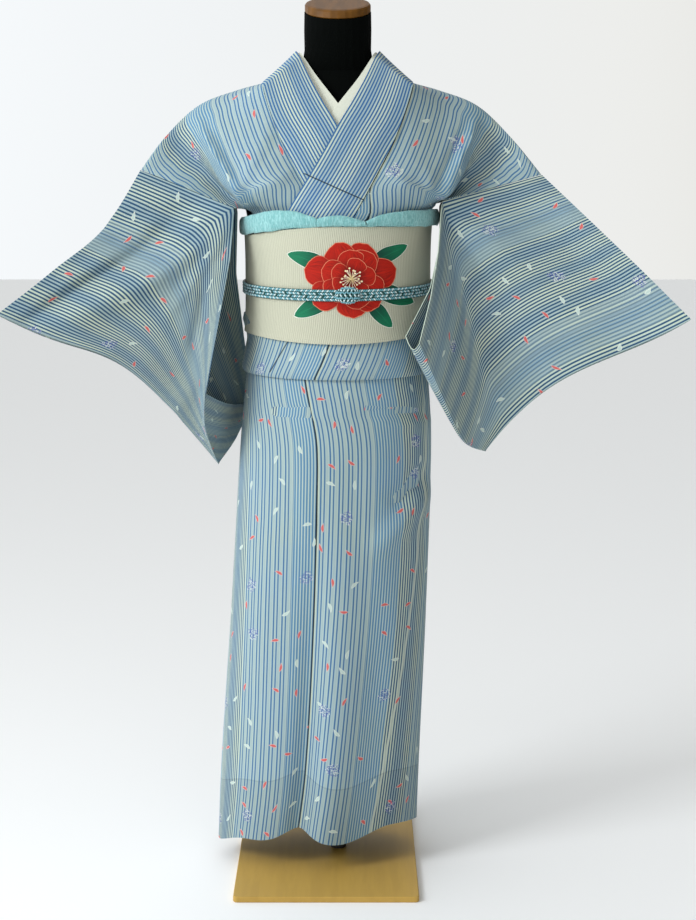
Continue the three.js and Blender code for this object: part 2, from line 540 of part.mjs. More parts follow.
// ---- the drum bow at the back: its loop, its tail and the hand that crosses inside ----
function strip(name, path, halfWidth, thickness, color) {
  const xs = [-1, -0.6, -0.2, 0.2, 0.6, 1];
  const rows = path.map((k) => xs.map((u) => vec(u * (k.half ?? halfWidth), k.y - (k.bow ?? 0) * u * u, k.z)));
  return wall(name, rows, thickness, color);
}
function drum() {
  return strip("sash_drum", [
    { y: 122, z: 1002, bow: 16 }, { y: 132, z: 1020, bow: 16 }, { y: 152, z: 1016, bow: 13 },
    { y: 170, z: 974, bow: 9 }, { y: 180, z: 900, bow: 8 }, { y: 180, z: 820, bow: 8 },
    { y: 172, z: 768, bow: 7 }, { y: 162, z: 752, bow: 7 }, { y: 152, z: 760, bow: 8 },
    { y: 139, z: 800, bow: 12 }, { y: 127, z: 850, bow: 16 }, { y: 118.8, z: 892, bow: 18 },
  ], DRUM_HALF_WIDTH, 2.4, "#d9dbc8");
}
function tail() {
  return strip("sash_tail", [
    { y: 116.1, z: 890, bow: 18 }, { y: 122.5, z: 850, bow: 16 }, { y: 132, z: 800, bow: 12 },
    { y: 142, z: 740, bow: 8 }, { y: 148, z: 680, bow: 7 },
  ], DRUM_HALF_WIDTH - 3, 2.4, "#d9dbc8");
}
function hand() {
  const rows = [-0.5, -0.2, 0.2, 0.5].map((t) => steps(6).map((u) =>
    vec(lerp(-139, 139, u), 122.3 - 20.3 * (2 * u - 1) ** 2 + 16 * (0.5 - t), 868 + 56 * t)));
  return wall("sash_hand", rows, 4.5, "#d4d6c4");
}

// ---- the dress form ----
const FORM = [
  { z: 640, hw: 124, df: 92, db: 94 },
  { z: 700, hw: 126, df: 96, db: 97 },
  { z: 760, hw: 124, df: 97, db: 96 },
  { z: 880, hw: 115, df: 95, db: 86 },
  { z: 975, hw: 116, df: 94, db: 90 },
  { z: 1060, hw: 137, df: 86, db: 104 },
  { z: 1110, hw: 143, df: 76, db: 103 },
  { z: 1146, hw: 124, df: 60, db: 88 },
  { z: 1172, hw: 90, df: 40, db: 70 },
  { z: 1200, hw: 54, df: 26, db: 56 },
  { z: 1230, hw: 49, df: 35, db: 46 },
  { z: 1258, hw: 49.5, df: 44, db: 44 },
  { z: NECK_TOP_Z, hw: 49, df: 46, db: 44, slant: NECK_SLANT },
];
const AROUND = steps(28).slice(0, -1);
function oval(k, lift = 0, grow = 0) {
  return AROUND.map((t) => {
    const [s, c] = [Math.sin(2 * Math.PI * t), Math.cos(2 * Math.PI * t)];
    const y = -(c > 0 ? k.df + grow : k.db + grow) * c;
    return vec((k.hw + grow) * s, y, k.z + lift + (k.slant ?? 0) * y);
  });
}
function formTorso() {
  return lofted("form_torso", FORM.map((k) => oval(k)), "#0c0e0c", 0.6);
}
function formCap() {
  const neck = FORM.at(-1);
  const rings = [[0.4, -2], [2, -0.6], [CAP_HEIGHT - 3, -0.6], [CAP_HEIGHT - 0.8, -2.4], [CAP_HEIGHT, -6]];
  return lofted("form_neck_cap", rings.map(([lift, grow]) => oval(neck, lift, grow)), "#6a4d12", 0.45);
}
function formPole() {
  const ring = (z) => AROUND.map((t) =>
    vec(POLE_RADIUS * Math.sin(2 * Math.PI * t), POLE_RADIUS * Math.cos(2 * Math.PI * t), z));
  return lofted("form_pole", [ring(BASE.thickness + 0.2), ring(FORM[0].z - 0.2)], "#3a3a36", 0.4);
}
function formBase() {
  const [w, d] = [BASE.right - BASE.left, BASE.back - BASE.front];
  const corner = (inset, z) => {
    const list = [];
    for (const [sx, sy, turn] of [[1, -1, 0], [1, 1, 1], [-1, 1, 2], [-1, -1, 3]]) {
      for (const t of steps(3)) {
        const a = (turn + t) * (Math.PI / 2) - Math.PI / 2;
        list.push(vec((BASE.left + BASE.right) / 2 + sx * (w / 2 - 6) + (6 - inset) * Math.cos(a),
          (BASE.front + BASE.back) / 2 + sy * (d / 2 - 6) + (6 - inset) * Math.sin(a), z));
      }
    }
    return list;
  };
  const t = BASE.thickness;
  const rings = [corner(1, 0), corner(0, 1), corner(0, t - 1), corner(1, t)];
  return lofted("form_base", rings, "#9b8344", 0.6);
}

const kimono = new THREE.Group();
kimono.add(
  formBase(), formPole(), formTorso(), formCap(),
  bodyPanel(true), bodyPanel(false), overlap(true), overlap(false),
  collar(), collarCover(), halfCollar(), sleeve(true), sleeve(false),
  sash(), drum(), tail(), hand(), cord(), cordKnot(),
  scarfSide("scarf_left", true), scarfMiddle(), scarfSide("scarf_right", false),
);
export default kimono;
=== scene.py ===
# %% [markdown]
# # A striped summer kimono on a form
# The garment is straight lengths of cloth: two body lengths, two narrow overlaps, two sleeves and a
# collar, folded over a limbless form and tied with a sash. A cloth simulation could drape them, but the
# tied shape is hard to steer that way, so each sheet here is a grid of points placed by rule.
# Tables are in millimetres and meshes in metres. The front faces -Y, the wearer's left is +X, +Z is up,
# and the origin is on the floor under the neck.

import math
import random

import bpy
import numpy as np
from mathutils import Matrix, Vector, noise


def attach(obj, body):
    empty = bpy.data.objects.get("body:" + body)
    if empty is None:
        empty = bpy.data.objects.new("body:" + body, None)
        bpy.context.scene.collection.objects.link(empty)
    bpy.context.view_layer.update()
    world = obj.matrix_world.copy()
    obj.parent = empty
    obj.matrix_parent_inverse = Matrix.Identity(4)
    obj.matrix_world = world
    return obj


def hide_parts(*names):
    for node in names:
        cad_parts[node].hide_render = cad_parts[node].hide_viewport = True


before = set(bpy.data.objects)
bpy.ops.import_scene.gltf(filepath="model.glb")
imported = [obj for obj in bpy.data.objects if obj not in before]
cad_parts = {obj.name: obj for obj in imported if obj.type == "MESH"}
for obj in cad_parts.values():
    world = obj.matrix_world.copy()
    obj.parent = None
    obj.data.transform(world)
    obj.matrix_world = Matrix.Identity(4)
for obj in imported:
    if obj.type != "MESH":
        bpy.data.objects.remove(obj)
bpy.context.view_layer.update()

# %% [markdown]
# ## Camera
# A kimono with its sleeves spread is nearly as wide as it is high. A short lens close by would swell the
# sleeves, so a long lens looks from 3 m in front and 1.085 m above the floor, tipped down to the sash.

# %% Place the camera
CAMERA_AT = (0.015, -3.0, 1.085)
CAMERA_TIP = 8.81  # degrees down
LENS = 78.26
SENSOR = 36


def placed(name, data):
    """A new object of the scene."""
    obj = bpy.data.objects.new(name, data)
    bpy.context.scene.collection.objects.link(obj)
    return obj


camera_data = bpy.data.cameras.new("camera")
camera_data.lens = LENS
camera_data.sensor_width = SENSOR
camera = placed("camera", camera_data)
camera.location = CAMERA_AT
camera.rotation_euler = (math.radians(90 - CAMERA_TIP), 0, 0)
bpy.context.scene.camera = camera
bpy.context.scene.view_settings.view_transform = "Standard"
print("camera at", CAMERA_AT, "with a lens of", LENS, "mm")

# %% [markdown]
# ## Sizes and small helpers
# The same few sizes come back in many pieces: the walls' thickness, the way from layer to layer, the
# heights of the hem, the tuck and the cord. Each is named once. Smooth lines could be Blender curve
# objects, but plain functions that read a table are shorter, and every sheet can share them.

# %% Main sizes in millimetres
CLOTH = 1.2  # the kimono's wall
COLLAR_CLOTH = 2.2  # the folded collar
SASH_CLOTH = 3.2  # two turns of the sash
DRUM_CLOTH = 2.4
HAND_CLOTH = 4.5
SEAM = 0.4  # between neighbours
LAYER = 3.2  # from an under layer to the one on it
FOLD_GAP = 2.6  # from fold to fold in the tuck
UPPER = LAYER + 2 * FOLD_GAP  # the outer layer above the tuck
HEM_Z = 50
TUCK_BOTTOM_Z = 760
TUCK_TOP_Z = 846
SASH_OUT = 12.7
CORD_Z = 878
CORD_DEPTH = 3.6
print("the outer layer lies", round(UPPER, 1), "mm out above the tuck")


# %% Easing and points
def rad(degrees):
    return degrees * math.pi / 180


def clamp(t):
    return min(1.0, max(0.0, t))


def smooth(t):
    t = clamp(t)
    return t * t * (3 - 2 * t)


def lerp(a, b, t):
    return a + (b - a) * t


def bell(d, width):
    return math.exp(-((d / width) ** 2))


def vec(x, y, z):
    return np.array([x, y, z], dtype=float)


def steps(count):
    return [i / count for i in range(count + 1)]


def unit(v):
    return v / max(1e-9, np.linalg.norm(v))


def mirrored(p):
    return p * np.array([-1, 1, 1])


# %% Smooth lines through tables and points
def hermite(a, b, leave, arrive, t):
    """A cubic from a to b at t from 0 to 1, with its slopes at both ends."""
    return (
        (2 * t**3 - 3 * t**2 + 1) * a
        + (t**3 - 2 * t**2 + t) * leave
        + (3 * t**2 - 2 * t**3) * b
        + (t**3 - t**2) * arrive
    )


def read(table, at, column):
    """Smooth interpolation of a column of a table by its first column."""
    last = len(table) - 1
    i = 0
    while i < last - 1 and at > table[i + 1][0]:
        i += 1

    def slope(k):
        lo, hi = table[max(0, k - 1)], table[min(last, k + 1)]
        return (hi[column] - lo[column]) / (hi[0] - lo[0])

    span = table[i + 1][0] - table[i][0]
    t = clamp((at - table[i][0]) / span)
    return hermite(table[i][column], table[i + 1][column], span * slope(i), span * slope(i + 1), t)


def through(points, t):
    """A smooth curve through points, at t from 0 to 1."""
    n = len(points) - 1
    i = min(n - 1, int(clamp(t) * n + 1e-9))
    f = clamp(t) * n - i
    a, b, c, d = (points[min(n, max(0, k))] for k in (i - 1, i, i + 1, i + 2))
    return 0.5 * (2 * b + (c - a) * f + (2 * a - 5 * b + 4 * c - d) * f**2 + (3 * b - a - 3 * c + d) * f**3)


def chain(points, t):
    """Straight stretches through points, at t from 0 to 1."""
    n = len(points) - 1
    i = min(n - 1, int(clamp(t) * n))
    return lerp(points[i], points[i + 1], clamp(t) * n - i)


# %% [markdown]
# ## The dressed body
# Padding under a kimono makes the body almost a straight column, so a height needs only a half width, a
# front depth and a back depth. A sculpted body would hide these measures in a mesh. Here each layer asks
# one function for a point at an angle, a height and a distance out, which keeps the layers clear of each
# other.

# %% Measures of the under layer
# z, centre x, half width, front depth, back depth, seam angle
BODY = [
    (20, -32, 152, 101, 100, -13),
    (148, -27, 151, 102, 102, -9),
    (403, -13, 147, 104, 108, -9),
    (651, -2, 142, 108, 112, -11.3),
    (758, 0, 134, 106, 106, -20),
    (820, 0, 126, 104, 98, -4),
    (880, 0, 124, 104, 95, 3),
    (975, 0, 126, 104, 100, 14),
    (1007, 0, 134, 102, 108, 23),
    (1060, 0, 150, 98, 116, 25),
    (1100, 0, 165, 91, 116, 25),
    (1150, 0, 178, 74, 110, 25),
    (1180, 0, 182, 54, 96, 25),
    (1228, 0, 186, 6, 60, 25),
]
CX, HW, DF, DB, SEAM_ANGLE = 1, 2, 3, 4, 5


def body(z, column):
    return read(BODY, z, column)


def on_body(angle, z, out=0):
    """A point at an angle from the front centre, +90 at the wearer's left side."""
    s, c = math.sin(rad(angle)), math.cos(rad(angle))
    depth = body(z, DF) if c > 0 else body(z, DB)
    n = unit(np.array([s / body(z, HW), -c / depth]))
    return vec(body(z, CX) + body(z, HW) * s + out * n[0], -depth * c + out * n[1], z)


def on_front(x, z, out=0):
    across = clamp(1 - (x / (body(z, HW) + out)) ** 2)
    return vec(x, -(body(z, DF) + out) * math.sqrt(across), z)


waist_depth = body(CORD_Z, DF) + body(CORD_Z, DB)
print("waist", round(2 * body(CORD_Z, HW)), "mm wide,", round(waist_depth), "mm deep")

# %% [markdown]
# ## Cloth as grids
# A length of cloth is rows of points on its middle surface. A Solidify modifier could thicken it, but a
# wall that is built on both sides at once has closed rims and its own UV map from the start. That map,
# named "cloth", holds the lengths of the flat cloth, and the weave follows it.

# %% Refine, turn and measure a grid
def finer(grid, spacing, knot=0):
    """Adds rows so that they lie about a spacing apart, by cubic curves along each column."""
    grid = np.array(grid)
    gaps = np.linalg.norm(np.diff(grid[:, knot], axis=0), axis=1)
    at = np.concatenate([[0], np.cumsum(np.maximum(gaps, 0.5))])
    slopes = np.gradient(grid, at, axis=0)
    rows = []
    for i, gap in enumerate(np.diff(at)):
        count = max(1, round(gap / spacing))
        for k in range(count):
            rows.append(hermite(grid[i], grid[i + 1], gap * slopes[i], gap * slopes[i + 1], k / count))
    return np.array(rows + [grid[-1]])


def normals(grid, ring=False):
    along = np.gradient(grid, axis=0)
    if ring:
        across = np.roll(grid, -1, axis=1) - np.roll(grid, 1, axis=1)
    else:
        across = np.gradient(grid, axis=1)
    n = np.cross(across, along)
    return n / np.maximum(1e-9, np.linalg.norm(n, axis=2, keepdims=True))


def moved(grid, distance, ring=False):
    """The grid moved along its normals by one distance, or by one for each row or point."""
    distance = np.array(distance, dtype=float)
    while distance.ndim < 3:
        distance = distance[..., None]
    return grid + normals(grid, ring) * distance


def closed(grid, ring):
    """A ring's grid gets its first column again at the end."""
    return np.concatenate([grid, grid[:, :1]], axis=1) if ring else grid


def lengths(grid, ring=False):
    """The cloth's length across from the first column and along from the first row, at each point."""
    grid = closed(grid, ring)
    across = np.linalg.norm(np.diff(grid, axis=1), axis=2)
    across = np.concatenate([np.zeros((len(grid), 1)), np.cumsum(across, axis=1)], axis=1)
    along = np.linalg.norm(np.diff(grid, axis=0), axis=2).mean(axis=1)
    along = np.concatenate([[0], np.cumsum(along)])
    return across, np.repeat(along[:, None], grid.shape[1], axis=1)


def area_of(grid, ring=False):
    """In square metres."""
    grid = closed(grid, ring)
    a = np.cross(grid[1:, 1:] - grid[:-1, :-1], grid[1:, :-1] - grid[:-1, 1:])
    return np.linalg.norm(a, axis=2).sum() / 2 / 1e6


# %% From a grid to a closed wall
def new_mesh(name, points, faces, corner_uvs=None):
    """A mesh object from millimetres; the uvs are metres of cloth for each face corner."""
    mesh = bpy.data.meshes.new(name)
    mesh.from_pydata((np.array(points) / 1000).tolist(), [], faces)
    if corner_uvs is not None:
        layer = mesh.uv_layers.new(name="cloth")
        layer.data.foreach_set("uv", (np.array(corner_uvs) / 1000).astype(np.float32).ravel())
    mesh.polygons.foreach_set("use_smooth", [True] * len(mesh.polygons))
    mesh.update()
    return placed(name, mesh)


RIM_ANGLE = 50  # a sharper edge stays crisp under smooth shading


def shell(name, grid, thickness, uv=None, ring=False):
    """A closed wall round a grid of middle points, with its rims."""
    rows, cols = grid.shape[:2]
    wide = cols + 1 if ring else cols
    out = normals(grid, ring) * (thickness / 2)
    points = np.concatenate([(grid + out).reshape(-1, 3), (grid - out).reshape(-1, 3)])
    u, v = lengths(grid, ring) if uv is None else uv
    i, j = (k.ravel() for k in np.meshgrid(np.arange(rows - 1), np.arange(wide - 1), indexing="ij"))
    along = np.arange(wide - 1)
    first_row, last_row = along * 0, along * 0 + rows - 1
    quads = [
        [(0, i, j), (0, i, j + 1), (0, i + 1, j + 1), (0, i + 1, j)],
        [(1, i, j), (1, i + 1, j), (1, i + 1, j + 1), (1, i, j + 1)],
        [(0, first_row, along), (1, first_row, along), (1, first_row, along + 1), (0, first_row, along + 1)],
        [(0, last_row, along), (0, last_row, along + 1), (1, last_row, along + 1), (1, last_row, along)],
    ]
    if not ring:
        down = np.arange(rows - 1)
        one, end = down * 0, down * 0 + cols - 1
        quads += [
            [(0, down, one), (0, down + 1, one), (1, down + 1, one), (1, down, one)],
            [(0, down, end), (1, down, end), (1, down + 1, end), (0, down + 1, end)],
        ]
    faces, corners = [], []
    for quad in quads:
        faces.append(np.stack([side * rows * cols + a * cols + b % cols for side, a, b in quad], axis=1))
        corners.append(np.stack([a * wide + b for side, a, b in quad], axis=1))
    flat = np.stack([u.ravel(), v.ravel()], axis=1)
    obj = new_mesh(name, points, np.concatenate(faces).tolist(), flat[np.concatenate(corners).ravel()])
    obj.data.set_sharp_from_angle(angle=rad(RIM_ANGLE))
    return obj


# %% [markdown]
# ## Creases
# Tied cloth pulls into soft troughs and ridges that wander a little. They could be sculpted, but a line
# in the front view with a width and a depth is easy to move, and noise makes it as uneven as a real one.

# %% Crease the front of a grid
def crease_at(p, creases, seed):
    """How far a point at the front moves out, for the creases it lies in."""
    total = 0.0
    q = np.array([p[0], p[2]])
    for k, (x1, z1, x2, z2, width, depth) in enumerate(creases):
        a, b = np.array([x1, z1]), np.array([x2, z2])
        along = b - a
        length = np.linalg.norm(along)
        t = float(np.dot(q - a, along) / length**2)
        off = (q[0] - a[0]) * along[1] / length - (q[1] - a[1]) * along[0] / length
        if not -0.25 < t < 1.25 or abs(off) > 3.5 * width:
            continue
        wander = 0.35 * width * noise.noise(Vector((t * 2.3, seed, k * 3.1)))
        ends = smooth((t + 0.22) / 0.42) * smooth((1.22 - t) / 0.42)
        uneven = 1 + 0.3 * noise.noise(Vector((t * 3.7, k * 1.7, seed)))
        total += depth * uneven * ends * bell(off - wander, width)
    return total


def creased(grid, creases, seed, ripple):
    """Moves the points in the front half out along the normals, for the creases and a faint ripple."""
    n = normals(grid)
    turn = -1 if n[..., 1].mean() > 0 else 1
    distance = np.zeros(grid.shape[:2])
    for i, j in np.ndindex(*grid.shape[:2]):
        x, y, z = grid[i, j]
        if y < 0:
            wave = ripple * noise.noise(Vector((x / 45, z / 120, seed + 7.7)))
            distance[i, j] = turn * (crease_at(grid[i, j], creases, seed) + wave) * smooth(-y / 60)
    return grid + n * distance[..., None]


# %% [markdown]
# ## Skirt and waist tuck
# A kimono is cut longer than its wearer, and the extra length is folded up into a tuck that shows below
# the sash. The skirt wraps round the body, with the overlap's seam down the front. Bending a flat mesh
# would stretch the weave, so both are rows of points at angles round the body, and the tuck is a path
# that each angle follows.

# %% Seam, drape and hem of the skirt
OPEN_EDGE = -84  # the left overlap's free edge
UNDER_EDGE = 58  # the right overlap's free edge
SIDE = 88.5  # where a body length turns from front to back
BESIDE = 0.11  # half a seam's gap
ROW_STEP = 9

# z, angle of the left overlap's seam below the waist
SEAM_LINE = [
    (20, -13), (148, -9), (403, -9), (625, -10.6), (651, -11.2), (677, -12.2), (693, -13.2), (707, -15),
    (732, -17.4), (758, -20.2), (820, -24),
]


def seam_angle(z):
    return read(SEAM_LINE, z, 1) if z < TUCK_BOTTOM_Z else body(z, SEAM_ANGLE)


def over_out(angle):
    """The outer layer comes down to the inner one at the side."""
    return LAYER * smooth((SIDE - angle) / 15)


# degrees from the seam, width, height
DRAPES = [(15, 13, 14), (0, 7, -18), (-26, 16, 5)]


def drape(angle, z):
    """The overlap seam lies in a soft valley that deepens to the hem, with a ridge on its left."""
    off = angle - seam_angle(z)
    return smooth((640 - z) / 560) * sum(high * bell(off - at, width) for at, width, high in DRAPES)


def hem_z(angle):
    """The hem rises at the overlap seam and on the left, and its free corner dips."""
    corner = 22 * smooth((-40 - angle) / 45) * smooth((angle + 130) / 40)
    left_rise = 20 * smooth((angle - 12) / 33) * (1 - smooth((angle - 40) / 100))
    return HEM_Z + 20 * bell(angle - seam_angle(HEM_Z), 12) + left_rise - corner


def skirt(angle, share, out, under=False):
    """A point of the skirt, at a share of its height; the under layer keeps clear of the outer one."""
    z = lerp(hem_z(angle), TUCK_BOTTOM_Z - 10, share)
    front = smooth(math.cos(rad(angle)) / 0.3)
    clear = 7 * smooth((690 - z) / 300) + 6 * smooth((500 - z) / 300) * bell(angle - seam_angle(z), 16)
    fold = 0.7 * drape(angle, z) - clear if under else drape(angle, z)
    return on_body(angle, z, out + front * fold)


# %% Path of the tuck
# z, how far out in fold gaps, seam angle
TUCK = [
    (785, 0, -22),
    (TUCK_TOP_Z - 14, 0, -24),
    (TUCK_TOP_Z - 2, 0.1, -24),
    (TUCK_TOP_Z, 0.5, -24),
    (TUCK_TOP_Z - 2, 0.9, -24),
    (TUCK_TOP_Z - 18, 1, -23),
    (TUCK_BOTTOM_Z + 12, 1.1, -16),
    (TUCK_BOTTOM_Z + 2, 1.2, -14.5),
    (TUCK_BOTTOM_Z, 1.9, -13.8),
    (TUCK_BOTTOM_Z + 3, 2.7, -13.3),
    (TUCK_BOTTOM_Z + 20, 2.9, -10.2),
    (TUCK_TOP_Z - 38, 2.2, -5.8),
    (TUCK_TOP_Z + 4, 2, -0.5),
]


def tucked(angle, fold, out):
    return on_body(angle, fold[0] - 5 * math.cos(rad(angle)), out + FOLD_GAP * fold[1])


SKIRT_ROWS = steps(24)
print("tuck", TUCK_TOP_Z - TUCK_BOTTOM_Z, "mm high, skirt", len(SKIRT_ROWS), "rows")

# %% [markdown]
# ## Collar
# The collar is one straight band, folded along its middle and sewn round the neck from one front edge to
# the other. A profile swept along a curve would twist at the shoulders, so each station gives the band's
# neck edge and seam edge. The white half collar uses the same stations and shows along the neck edge.

# %% Stations from the nape to under the sash
# neck edge x, y, z, then seam edge x, y, z
NAPE = [
    (0, 96, 1206, 0, 113, 1152),
    (34, 86, 1212, 46, 106, 1159),
    (55, 54, 1222, 82, 76, 1173),
    (60, 14, 1228, 104, 26, 1184),
]
# neck edge x, z, then seam edge x, z, on the chest
LAPEL = [
    (55, 1218, 108, 1176),
    (40, 1187, 99, 1146),
    (22, 1155, 88, 1116),
    (3, 1124, 74, 1085),
    (-30, 1066, 43, 1027),
    (-67, 1006, 10, 966),
    (-96, 952, -20, 908),
    (-110, 915, -43, 866),
]
LAST_STATION = len(NAPE) + len(LAPEL) - 1
COLLAR_STEP = 0.125  # stations from row to row
COVER_END = 8.25  # the station where the second band ends
HALF_COLLAR_ENDS = (7.5, 7)  # at the left and the right
UNDER_COLLAR = 1.5


# %% Rows of the collar and the half collar
def collar_point(station, across, out):
    """A point between the neck edge, at 0 across, and the seam edge, at 1."""
    inner = [vec(*k[:3]) for k in NAPE] + [on_front(k[0], k[1], out) for k in LAPEL]
    outer = [vec(*k[3:]) for k in NAPE] + [on_front(k[2], k[3], out) for k in LAPEL]
    t = station / LAST_STATION
    p = lerp(through(inner, t), through(outer, t), across)
    if station >= len(NAPE):
        p[1] = on_front(p[0], p[2], out)[1]
    return p


def out_of(left):
    return UPPER if left else UNDER_COLLAR


def collar_rows(left_end, right_end, point):
    """Rows from the left end, round the nape and to the right end."""
    rows = []
    for k in range(round(left_end / COLLAR_STEP)):
        rows.append(point(left_end - COLLAR_STEP * k, True))
    for k in range(round(right_end / COLLAR_STEP) + 1):
        rows.append([mirrored(p) for p in point(COLLAR_STEP * k, False)])
    return np.array(rows)


def collar_grid(left_end, right_end, cols=14):
    return collar_rows(
        left_end, right_end, lambda s, left: [collar_point(s, c, out_of(left)) for c in steps(cols - 1)]
    )


def half_collar_grid():
    """It follows the collar's neck edge, shows more towards the chest and lies under the collar."""
    def row(s, left):
        shown = lerp(0.03, 0.24, smooth((s - 2.5) / 4))
        return [collar_point(s, c, out_of(left)) for c in (-shown, -shown * 0.5, 0.02, 0.1, 0.18, 0.34)]

    grid = collar_rows(*HALF_COLLAR_ENDS, row)
    nape = round(HALF_COLLAR_ENDS[0] / COLLAR_STEP)
    depths = []
    for i in range(len(grid)):
        deepest = UPPER + 1.6 if i < nape else UNDER_COLLAR + 4.6
        depths.append(-lerp(3, deepest, smooth((COLLAR_STEP * abs(i - nape) - 3) / 2.6)))
    return moved(grid, depths)


print("collar has", LAST_STATION + 1, "stations to a side")

# %% [markdown]
# ## Body lengths and overlaps
# A body length runs from the front hem up over the shoulder and down to the back hem without a seam.
# Joining separate front and back meshes would break its stripes, so it is one grid: arcs round the body
# at the skirt, the tuck and the waist, and rows from the collar to the armhole over the shoulder.

# %% Rows over the shoulder
ARMHOLE = {
    True: {"end": vec(300, -20, 1049), "front": vec(151, -50, 1011), "back": vec(151, 24, 1007)},
    False: {"end": vec(-290, -20, 1056), "front": vec(-150, -50, 1001), "back": vec(-150, 36, 1001)},
}
# collar station or spine height, three points across, share of the armhole, below zero at the front
SHOULDER = [
    (7.9, (100, -98, 1036), (141, -72, 1020), (150, -36, 1014), -1),
    (7, (118, -88, 1060), (160, -68, 1036), (170, -20, 1028), -0.75),
    (5.5, (140, -66, 1100), (178, -58, 1069), (194, -16, 1052), -0.5),
    (4, (152, -34, 1152), (200, -30, 1122), (232, -12, 1084), -0.25),
    (3, (150, 10, 1171), (205, 0, 1149), (254, -12, 1104), 0),
    (2.4, (145, 48, 1147), (196, 30, 1113), (234, 8, 1076), 0.25),
    (1.2, (110, 92, 1122), (165, 72, 1087), (196, 32, 1056), 0.5),
    (0, (70, 120, 1098), (130, 102, 1057), (165, 54, 1032), 0.75),
    (1085, (60, 126, 1050), (112, 106, 1026), (142, 66, 1008), 1),
]
SHOULDER_STEPS = 32
SPINE_OUT = 9
CHEST_Z = 996
CHEST_START = 20  # angle
BEYOND = 0.012  # past the collar's seam edge, as a share of its width
UNDER_ROWS, WAIST_ROWS, BACK_ROWS = [790, TUCK_TOP_Z], [900, 950], [1000, 950, 900]


def shoulder_row(left, t, across):
    """A row from the collar or the back seam to the armhole, at a share of the way over the shoulder."""
    at = t * (len(SHOULDER) - 1)
    i = min(len(SHOULDER) - 2, int(at + 1e-9))
    a, b, f = SHOULDER[i], SHOULDER[i + 1], at - i

    def side(p):
        return p if left else mirrored(p)

    share = lerp(a[4], b[4], f)
    hole = ARMHOLE[left]
    far = lerp(hole["end"], hole["front"], -share) if share < 0 else lerp(hole["end"], hole["back"], share)
    if i == len(SHOULDER) - 2 and f > 1e-6:
        z = lerp(NAPE[0][5] - 8, b[0], f)
        neck = side(vec(SEAM / 2, body(z, DB) + SPINE_OUT, z))
    else:
        station = lerp(a[0], b[0], f) if i < len(SHOULDER) - 2 else a[0]
        neck = side(collar_point(station, 1 + BEYOND, UPPER if left else 0))
        if station < 1e-6:
            neck[0] = (1 if left else -1) * SEAM / 2
    middle = [through([vec(*k[c]) for k in SHOULDER], t) for c in (1, 2, 3)]
    points = [neck] + [side(p) for p in middle] + [far]
    return [through(points, u) for u in across]


# %% A body length from hem to hem
def body_panel(left, cols=46):
    """Front hem, up over the shoulder, and down to the back hem."""
    across = [u**1.3 for u in steps(cols)]
    turn = 1 if left else -1

    def side(p):
        return p if left else mirrored(p)

    def arc(start, end, point):
        return [point(lerp(start, end, u)) for u in across]

    def front_from(z):
        return seam_angle(z) + BESIDE

    rows = [
        arc(front_from(lerp(HEM_Z, TUCK_BOTTOM_Z, s)), SIDE,
            lambda a, s=s: skirt(turn * a, s, over_out(a) if left else 0, not left))
        for s in SKIRT_ROWS
    ]
    if left:
        rows += [arc(f[2] + BESIDE, SIDE, lambda a, f=f: tucked(a, f, over_out(a))) for f in TUCK]
    for z in WAIST_ROWS if left else UNDER_ROWS + WAIST_ROWS:
        rows.append(arc(front_from(z), SIDE,
                        lambda a, z=z: on_body(turn * a, z, over_out(a) + 2 * FOLD_GAP if left else 0)))
    rows.append(arc(CHEST_START, SIDE - 8, lambda a: side(on_body(a, CHEST_Z, UPPER if left else 0))))
    rows += [shoulder_row(left, t, across) for t in steps(SHOULDER_STEPS)]

    def back_arc(point):
        return arc(180 - BESIDE, SIDE + 0.4, point)

    rows += [back_arc(lambda a, z=z: side(on_body(a, z, 2 * FOLD_GAP))) for z in BACK_ROWS]
    rows += [back_arc(lambda a, f=f: side(tucked(a, f, 0))) for f in reversed(TUCK)]
    rows += [back_arc(lambda a, s=s: skirt(turn * a, s, 0)) for s in reversed(SKIRT_ROWS)]
    return finer(rows, ROW_STEP)


# %% An overlap from the hem to its tip
# the edge above the tuck: z, angle
TUCK_CUT = [(853, -62), (857, -42)]
OVERLAP_ROWS = [862, 881, 900, 925, 950, 973, CHEST_Z, CHEST_Z + 16]


def overlap(left, cols=26):
    """From the hem up to its tip between the collar and the body length."""
    across = [1 - (1 - u) ** 1.3 for u in steps(cols)]
    turn = 1 if left else -1
    out = UPPER if left else 0
    free = OPEN_EDGE if left else -UNDER_EDGE

    def arc(start, end, point):
        return [point(lerp(start, end, u)) for u in across]

    def seam(z):
        return seam_angle(z) - BESIDE

    rows = [
        arc(free, seam(lerp(HEM_Z, TUCK_BOTTOM_Z, s)),
            lambda a, s=s: skirt(turn * a, s, LAYER if left else 0, not left))
        for s in SKIRT_ROWS
    ]
    if left:
        rows += [arc(free, f[2] - BESIDE, lambda a, f=f: tucked(a, f, LAYER)) for f in TUCK]
    else:
        rows += [arc(free, seam(z), lambda a, z=z: on_body(turn * a, z, 0)) for z in UNDER_ROWS]
    rows += [arc(a0, seam(z), lambda a, z=z: on_body(turn * a, z, out)) for z, a0 in TUCK_CUT]
    edge = [(k[3], k[2]) for k in reversed(LAPEL)]
    chest_x = on_body(CHEST_START - BESIDE, CHEST_Z, out)[0]
    tip = collar_point(SHOULDER[0][0], 1 + BEYOND, out)
    for z in OVERLAP_ROWS + [tip[2] - 3]:
        share = (z - CHEST_Z) / (tip[2] - CHEST_Z)
        to = on_body(seam(z), z, out)[0] if z < CHEST_Z else lerp(chest_x, tip[0] - 0.2, share)
        row = arc(read(edge, z, 1) + 1.4, to, lambda x, z=z: on_front(x, z, out))
        rows.append(row if left else [mirrored(p) for p in row])
    return finer(rows, ROW_STEP, knot=cols)


